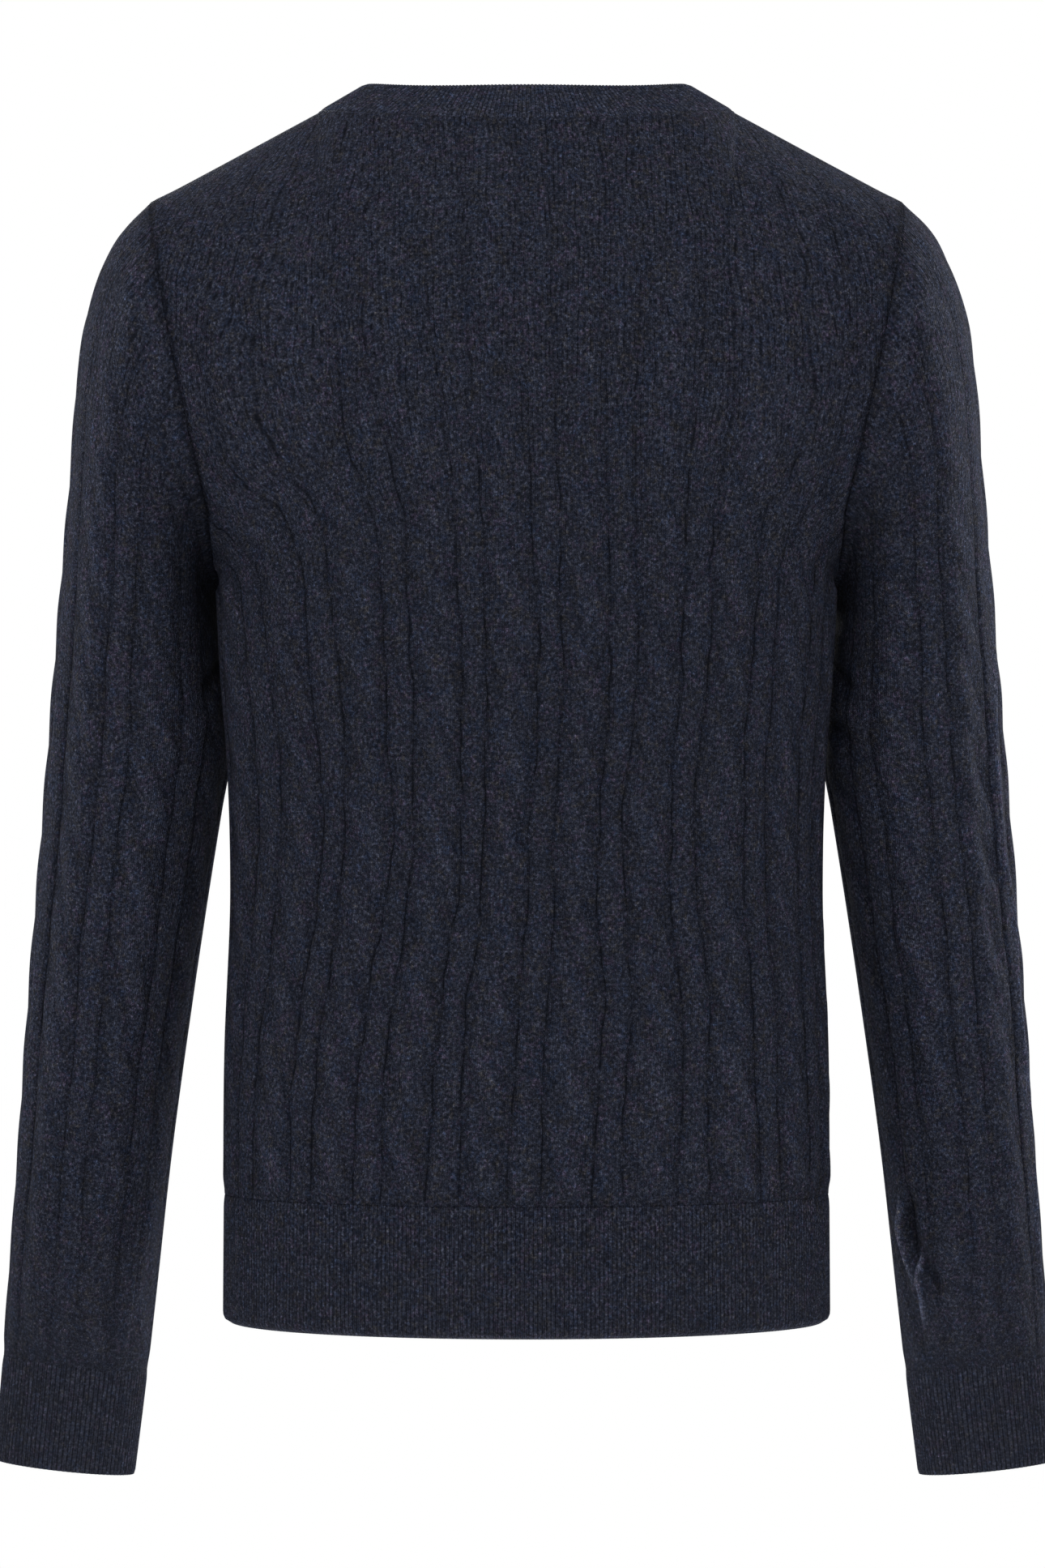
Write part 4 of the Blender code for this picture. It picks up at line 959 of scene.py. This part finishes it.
def sleeve_row(turn, fall):
    """Tilted ring of the left sleeve: an oval between an outer and an inner guide curve."""
    outer_z = SHOULDER[1] - fall
    if fall < TILTED_LENGTH:
        inner_z = UNDERARM - TILTED_DROP * (fall / TILTED_LENGTH) ** 2
    else:
        inner_z = UNDERARM - TILTED_DROP - (fall - TILTED_LENGTH)
    outer_x, outer_y, behind, before = smooth(SLEEVE_OUTER, outer_z)
    outer = np.array([outer_x, outer_y, outer_z])
    inner = np.array([*smooth(SLEEVE_INNER, inner_z), inner_z])
    start = armhole(np.array(0.0))
    near = max(0.0, 1 - fall / 20.0)
    far = max(0.0, 1 - fall / 60.0)
    inner = inner + (start - np.array([SLEEVE_INNER[0][1], SLEEVE_INNER[0][2], UNDERARM])) * near
    sine = np.sin(turn)
    points = (outer + inner) / 2 + np.cos(turn)[:, None] * (outer - inner) / 2
    depth = np.where(sine > 0, behind, before) * sine
    bow = ARMHOLE_BOW * far * np.clip(sine, 0.0, 1.0)
    bow = bow + underarm_swell(1 - turn / math.pi) * max(0.0, 1 - fall / 160.0)
    return points + np.stack([bow, depth, np.zeros_like(depth)], axis=-1)


def crease(turn, fall, half_width, spots):
    """A bell of height 1 across a curve through the spots, fading out softly at its ends."""
    track = [(length, math.radians(angle)) for angle, length in zip(spots[::2], spots[1::2])]
    first, last = track[0][0], track[-1][0]
    slope = (track[-1][1] - track[0][1]) * REACH / (last - first)
    off = (turn - smooth(track, fall)[0]) * REACH / math.hypot(1.0, slope)
    fade = 0.18 * (last - first)
    ends = ease(fall, first - fade, first + fade) * (1 - ease(fall, last - fade, last + fade))
    return bell(off, half_width) * ends


sleeve_wool = cable_cloth(0.5)
sleeve_turns = whole_turn(340)
sleeve_falls = np.concatenate([
    np.linspace(0.0, 40.0, 24, endpoint=False),
    np.linspace(40.0, CUFF_TOP + 1.0, 220),
])
cuff_falls = np.linspace(CUFF_TOP - 1.0, SLEEVE_END, 24)
cuff_turns = whole_turn(CUFF_RIBS * 4)
for side, side_name in SIDES:
    plain = np.stack([sleeve_row(sleeve_turns, fall) for fall in sleeve_falls])
    turn = np.broadcast_to(sleeve_turns, plain.shape[:2])
    fall = down_rows(sleeve_falls, plain)
    normal = outward_normals(plain, plain.mean(axis=1, keepdims=True), around=True)
    wrist = ease(fall, 420.0, 560.0)
    inner = bell(turn - BODY_SHADE[0], BODY_SHADE[1]) * (1 - ease(fall, 130.0, 330.0))
    facing = bell(turn - FACING_SHADE[0], FACING_SHADE[1]) * ease(fall, 150.0, 300.0)
    # painted shade: the sleeve a little darker overall, darker beside the body, at the armhole seam and
    # where it faces the body
    painted_shading = -0.5 * SHADE - (0.46 + 0.12 * side) * inner - SEAM_SHADE * bell(fall, 5.0)
    painted_shading = painted_shading - 0.26 * facing * (1 - wrist)
    for half_width, height, crease_shading, *spots in CREASES[side_name]:
        fold = crease(turn, fall, half_width, spots)
        plain = plain + normal * (height * fold)[..., None]
        # painted light: crease ridges painted lighter, troughs in painted shade
        painted_shading = painted_shading + crease_shading * fold
    place = (turn - math.radians(SLEEVE_RIB_ANGLE)) / (2 * math.pi) * SLEEVE_COLUMNS
    place = place + 0.030 * np.sin(turn * 3 + fall / 37.0) * np.sin(fall / 61.0 + 1.3)
    place = place + 0.016 * np.sin(turn * 4 - fall / 9.0 + side) * np.sin(fall / 23.0)
    flat = np.interp(fall, (0.0, 60.0, 200.0), (0.35, 0.55, 1.0))
    relief = cable_relief(-side * place, -fall * CABLE_REPEAT / SLEEVE_REPEAT) * flat
    relief = relief * ease(fall, 0.0, 12.0) * ease(CUFF_TOP - fall, 0.0, 10.0)
    relief = relief * (1 - 0.7 * inner) * (1 - 0.5 * wrist)
    # painted light: cable crests painted lighter than the hollows
    painted_shading = painted_shading + 1.2 * SHADE * relief
    wall = Knit().wall(plain, normal, relief, place * WALES, -fall, side, around=True)
    node = f"sleeve_{side_name}"
    sleeve = wall.make(f"sleeve_cloth_{side_name}", sleeve_wool, "wool_knit", node, painted_shading)

    plain = np.stack([sleeve_row(cuff_turns, fall) for fall in cuff_falls])
    normal = outward_normals(plain, plain.mean(axis=1, keepdims=True), around=True)
    number = np.broadcast_to(cuff_turns / (2 * math.pi) * CUFF_RIBS, plain.shape[:2])
    fall = down_rows(cuff_falls, plain)
    rise = rib_rise(number, fall - CUFF_TOP, SLEEVE_END - fall)
    rib = Knit().wall(plain, normal, rise, number, -fall, side, around=True, thick=RIB_WALL)
    cuff = rib.make(f"cuff_rib_{side_name}", rib_wool, "wool_knit")

# ================================================================== neckband
# The real neckband is a 30 mm strip of 1x1 rib, linked to the back neckline with its wales
# standing on it, and it leans in towards the neck. A flat linking seam shows at its foot.
NECK_RIBS = 112
NECK_TOP = 13.3             # level of the neckband's top edge at the middle of the back


def band_rise(share):
    """Direction in which the neckband stands on its seam, and its outward side. It leans in so
    that its top edge looks level."""
    turn = np.arcsin(np.clip(share, 0.0, 1.0))
    back_way = np.array([0.0, -0.72, 0.69]) / math.hypot(0.72, 0.69)
    side_way = np.array([-0.86, 0.0, 0.51]) / math.hypot(0.86, 0.51)
    mix = np.sin(turn)[..., None]
    rise = back_way * np.sqrt(1 - mix**2) + side_way * mix
    foot = BACK_NECK[1] + (NECK_POINT[1] - BACK_NECK[1]) * mix[..., 0] ** 2
    up = (NECK_TOP + 5.0 * mix[..., 0] ** 4 - foot) / BAND_WIDTH
    level = np.linalg.norm(rise[..., :2], axis=-1)
    rise = rise[..., :2] * (np.sqrt(1 - up**2) / level)[..., None]
    rise = np.concatenate([rise, up[..., None]], axis=-1)
    along = np.stack([-np.cos(turn), np.sin(turn), np.zeros_like(turn)], axis=-1)
    outward = np.cross(along, rise)
    outward = outward * np.sign(outward[..., 2:3] + 1e-9)
    return rise, outward / np.linalg.norm(outward, axis=-1, keepdims=True)


probe = np.linspace(-math.pi / 2, math.pi / 2, 400)
run = along_line(np.stack([NECK_POINT[0] * np.sin(probe), BACK_NECK[0] * np.cos(probe)], axis=-1))
neck_turn = np.interp(np.linspace(0.0, run[-1], NECK_RIBS * 5 + 1), run, probe)
neck_share = np.abs(np.sin(neck_turn))
neck_y, neck_z = top_edge(NECK_POINT[0] / SHOULDER[0] * neck_share)
neck_line = np.stack([NECK_POINT[0] * neck_share, neck_y, neck_z], axis=-1)
neck_rise, neck_out = band_rise(neck_share)
across = np.concatenate([[-0.04, 0.0, 0.03, 0.06, 0.09, 0.13], np.linspace(0.2, 1.0, 9)])
number = np.linspace(0.0, NECK_RIBS, len(neck_turn))
number = np.broadcast_to(number, (len(across), len(number)))
reach = down_rows(across * BAND_WIDTH, number)
plain = neck_line + neck_rise * reach[..., None]
rise = ridge(number) * ease(reach, 0.0, 4.0) - 0.7 * ease(reach, 28.0, 30.0)
rise = rise - 0.5 * (1 - ease(reach, -1.0, 2.0))
flip = np.where(neck_turn < 0, -1.0, 1.0)[:, None] * np.array([1.0, 0.0, 0.0]) + [0.0, 1.0, 1.0]
normal = np.broadcast_to(neck_out * flip, plain.shape)
# painted light: the band is painted 0.2 lighter as it leans up to the light, with a pale row painted 1.8
# mm up from its foot and painted shade at the foot itself
linking = 0.35 * bell(reach - 1.8, 1.1) - 0.4 * bell(reach, 0.9)
neck_wall = Knit().wall(plain * flip, normal, rise, number, reach, step=3)
neckband = neck_wall.make("neckband_rib", rib_wool, "rib_knit", "neckband", 0.2 + linking)

# ================================================================== button bands
# Two 30 mm strips of 1x1 rib run from the hem up the fronts and along the V to the shoulder
# seams. The left one carries the buttonholes and lies over the right one.
GAP = 0.3
BAND_TURN = 70.0           # height over which the band turns on to the shoulder
BAND_BULGE = 0.8
BAND_PITCH = 2.6
BAND_LENGTH = 900.0


def front_edge(height):
    """Seam point, direction across the band and outward side, at one level of the left front."""
    place = np.array([front_place(height)])
    point = body_row(place, height)[0]
    at = min(max(height, HEM_LEVEL + 2.0), -2.0)
    across = body_row(place + 0.02, at) - body_row(place - 0.02, at)
    along = body_row(place, at + 1.5) - body_row(place, at - 1.5)
    outward = np.cross(along, across)[0]
    outward = outward / np.linalg.norm(outward)
    above = min(height + 3.0, -0.5)
    below = max(above - 6.0, HEM_LEVEL)
    high = body_row(np.array([front_place(above)]), above)[0]
    low = body_row(np.array([front_place(below)]), below)[0]
    rise = np.cross(outward, (high - low) / np.linalg.norm(high - low))
    rise = rise / np.linalg.norm(rise) * (-1.0 if rise[0] > 0 else 1.0)
    top_rise, top_outward = (v[0] for v in band_rise(np.array([1.0])))
    near = float(ease(np.array(height), -BAND_TURN, 0.0))
    rise = rise * (1 - near) + top_rise * near
    outward = outward * (1 - near) + top_outward * near
    return point, rise / np.linalg.norm(rise), outward / np.linalg.norm(outward)


def band_sheet(heights, shares, over):
    """Points and outward sides of a left-hand band: it crowns a little, and the upper band
    rises over the lower one towards its free edge while the lower one sinks. Its seam is read
    from the tracks of the front's edge."""
    rows = []
    sides = []
    for height in heights:
        point, rise, outward = (
            np.array([np.interp(height, edge_levels, track[:, k]) for k in range(3)])
            for track in edge_tracks
        )
        spread = float(np.interp(height, (V_LEVEL + 60.0, -60.0), (1.0, 0.0)))
        reach = GAP / 2 + (BAND_WIDTH - GAP / 2) * shares
        lift = (WALL + GAP + 0.1) * spread * shares * (1 if over else -1)
        bulge = BAND_BULGE * np.sin(math.pi * np.clip(shares, 0.0, 1.0)) if over else 0.0
        half_width, _, front = smooth(TORSO, height)
        radius = half_width**2 / front
        drop = reach**2 / (2 * radius) * spread
        rows.append(point + rise * reach[:, None] + outward * (lift + bulge - drop)[:, None])
        sides.append(np.broadcast_to(outward, (len(shares), 3)))
    return np.stack(rows), np.stack(sides)


edge_levels = np.linspace(HEM_LEVEL, 0.0, 220)
edge_tracks = [np.stack(track) for track in zip(*(front_edge(h) for h in edge_levels))]
edge_length = along_line(edge_tracks[0])
band_ribs = round(BAND_LENGTH / BAND_PITCH)
band_share = np.linspace(0.0, 1.0, band_ribs * 3 + 1)
# the V's edge is longer than its height, so the rows are spread by length along the edge
band_heights = np.interp(band_share * edge_length[-1], edge_length, edge_levels)
band_across = np.linspace(0.0, 1.0, 11)
for side, side_name in SIDES:
    plain, outward = band_sheet(band_heights, band_across, side > 0)
    number = down_rows(band_share * band_ribs, plain)
    share = np.broadcast_to(band_across, number.shape)
    rise = (ridge(number) - 0.2) * ease(share, 0.0, 0.12) - 0.6 * ease(share, 0.93, 1.0)
    rise = rise if side > 0 else rise * 0.4 - 0.15
    up = share * BAND_WIDTH
    wall = Knit().wall(plain, outward, rise, number, up, side, step=3, thick=RIB_WALL)
    band = wall.make(f"band_rib_{side_name}", rib_wool, "rib_knit", f"band_{side_name}")

# ================================================================== buttons
# The real buttons are turned from dark horn-like plastic, 15 mm across with a rounded rim and a
# dished face, and are sewn on crosswise through four holes. They are fastened.
BUTTON_RADIUS = 7.5
BUTTON_THICKNESS = 3.0
BUTTON_COUNT = 6
BUTTON_INSET = (26.0, 12.0)   # lowest button over the hem's edge, highest one under the V
HOLE_PLACE = 1.7
HOLE_RADIUS = 0.75
HOLE_DEPTH = 1.5
RIM_START = 0.82           # share of the radius where the rolled rim begins
THREAD_RADIUS = 0.42
HORN_DARK = (0.006, 0.006, 0.008, 1.0)
HORN_PALE = (0.030, 0.024, 0.022, 1.0)


def horn():
    """Dark horn: slow brown clouds under a satin face, duller where they are pale."""
    finish = Finish("dark_horn")
    place = finish.node("ShaderNodeTexCoord", output="Object")
    cloud = finish.noise(place, 260.0, 3.0)
    finish.feed("Base Color", finish.mix(((cloud - 0.35) * 2.6).clamped(), HORN_DARK, HORN_PALE))
    finish.feed("Roughness", (cloud * 0.2 + 0.22).clamped())
    return finish.material


def button_face(radius, turn):
    """Height over the band by radius and angle: a rolled rim, a dished middle and four holes."""
    r = radius / BUTTON_RADIUS
    roll = np.sqrt(np.clip(1 - ((r - RIM_START) / (1 - RIM_START)) ** 2, 0.0, 1.0))
    dish = 0.72 + 0.28 * ease(r, 0.60, RIM_START)
    height = BUTTON_THICKNESS * np.where(r > RIM_START, 0.35 + 0.65 * roll, dish)
    for k in range(4):
        angle = math.pi / 4 + k * math.pi / 2
        x = radius * np.cos(turn) - HOLE_PLACE * math.cos(angle)
        y = radius * np.sin(turn) - HOLE_PLACE * math.sin(angle)
        height = height - HOLE_DEPTH * (1 - ease(np.hypot(x, y), HOLE_RADIUS * 0.7, HOLE_RADIUS))
    return height


def stitch_tube(angle):
    """A thread's spine and surface, arched from hole to hole across the button at an angle."""
    ring = whole_turn(8)
    step = np.linspace(0.0, math.pi, 14)[:, None]
    along = HOLE_PLACE * np.cos(step)
    arch = BUTTON_THICKNESS * 0.72 - 0.9 + 1.5 * np.sin(step) ** 0.5
    across = THREAD_RADIUS * np.cos(ring)
    x = along * math.cos(angle)
    y = along * math.sin(angle)
    rising = arch + THREAD_RADIUS * np.sin(ring)
    surface = (x - across * math.sin(angle), y + across * math.cos(angle), rising)
    return np.concatenate([x, y, arch], axis=-1)[:, None], np.stack(surface, axis=-1)


horn_material = horn()
thread_finish = Finish("button_thread")
thread_finish.feed("Base Color", yarn_colour(thread_finish))
thread_finish.feed("Roughness", 0.8)
low_button = HEM_LEVEL + BUTTON_INSET[0]
top_button = V_LEVEL - BUTTON_INSET[1]
radii = np.concatenate([np.linspace(0.02, 5.0, 30), np.linspace(5.3, BUTTON_RADIUS, 12)])
foot_radii = np.array([BUTTON_RADIUS, BUTTON_RADIUS * 0.8, 0.02])
foot_rise = np.array([0.35 * BUTTON_THICKNESS, 0.0, 0.0])
turns = whole_turn(72)
turn, radius = np.meshgrid(turns, radii)
face = np.stack([radius * np.cos(turn), radius * np.sin(turn), button_face(radius, turn)], axis=-1)
turn, radius = np.meshgrid(turns, foot_radii)
foot = np.stack([radius * np.cos(turn), radius * np.sin(turn), down_rows(foot_rise, turn)], axis=-1)
for index in range(BUTTON_COUNT):
    height = low_button + (top_button - low_button) * index / (BUTTON_COUNT - 1)
    seat_points, seat_sides = band_sheet([height], np.array([0.5]), True)
    outward = seat_sides[0, 0] * np.array([0.0, 1.0, 1.0])
    outward = outward / np.linalg.norm(outward)
    across = np.array([1.0, 0.0, 0.0])
    seat = seat_points[0, 0] + outward * (GAP + 0.1)
    # a button's own x, y and height run along these three
    axes = np.stack([across, np.cross(outward, across), outward])
    body = Knit()
    body.tube(seat + face @ axes, np.broadcast_to(outward, face.shape))
    body.tube(seat + foot @ axes, foot @ axes - outward * HOLE_DEPTH)
    body.make(f"horn_button_{index + 1}", horn_material, "button_horn", f"button_{index + 1}")

    thread = Knit()
    for angle in (math.pi / 4, 3 * math.pi / 4):
        spine, surface = stitch_tube(angle)
        thread.tube(seat + surface @ axes, (surface - spine) @ axes)
    thread.make(f"button_thread_{index + 1}", thread_finish.material, "rib_knit")
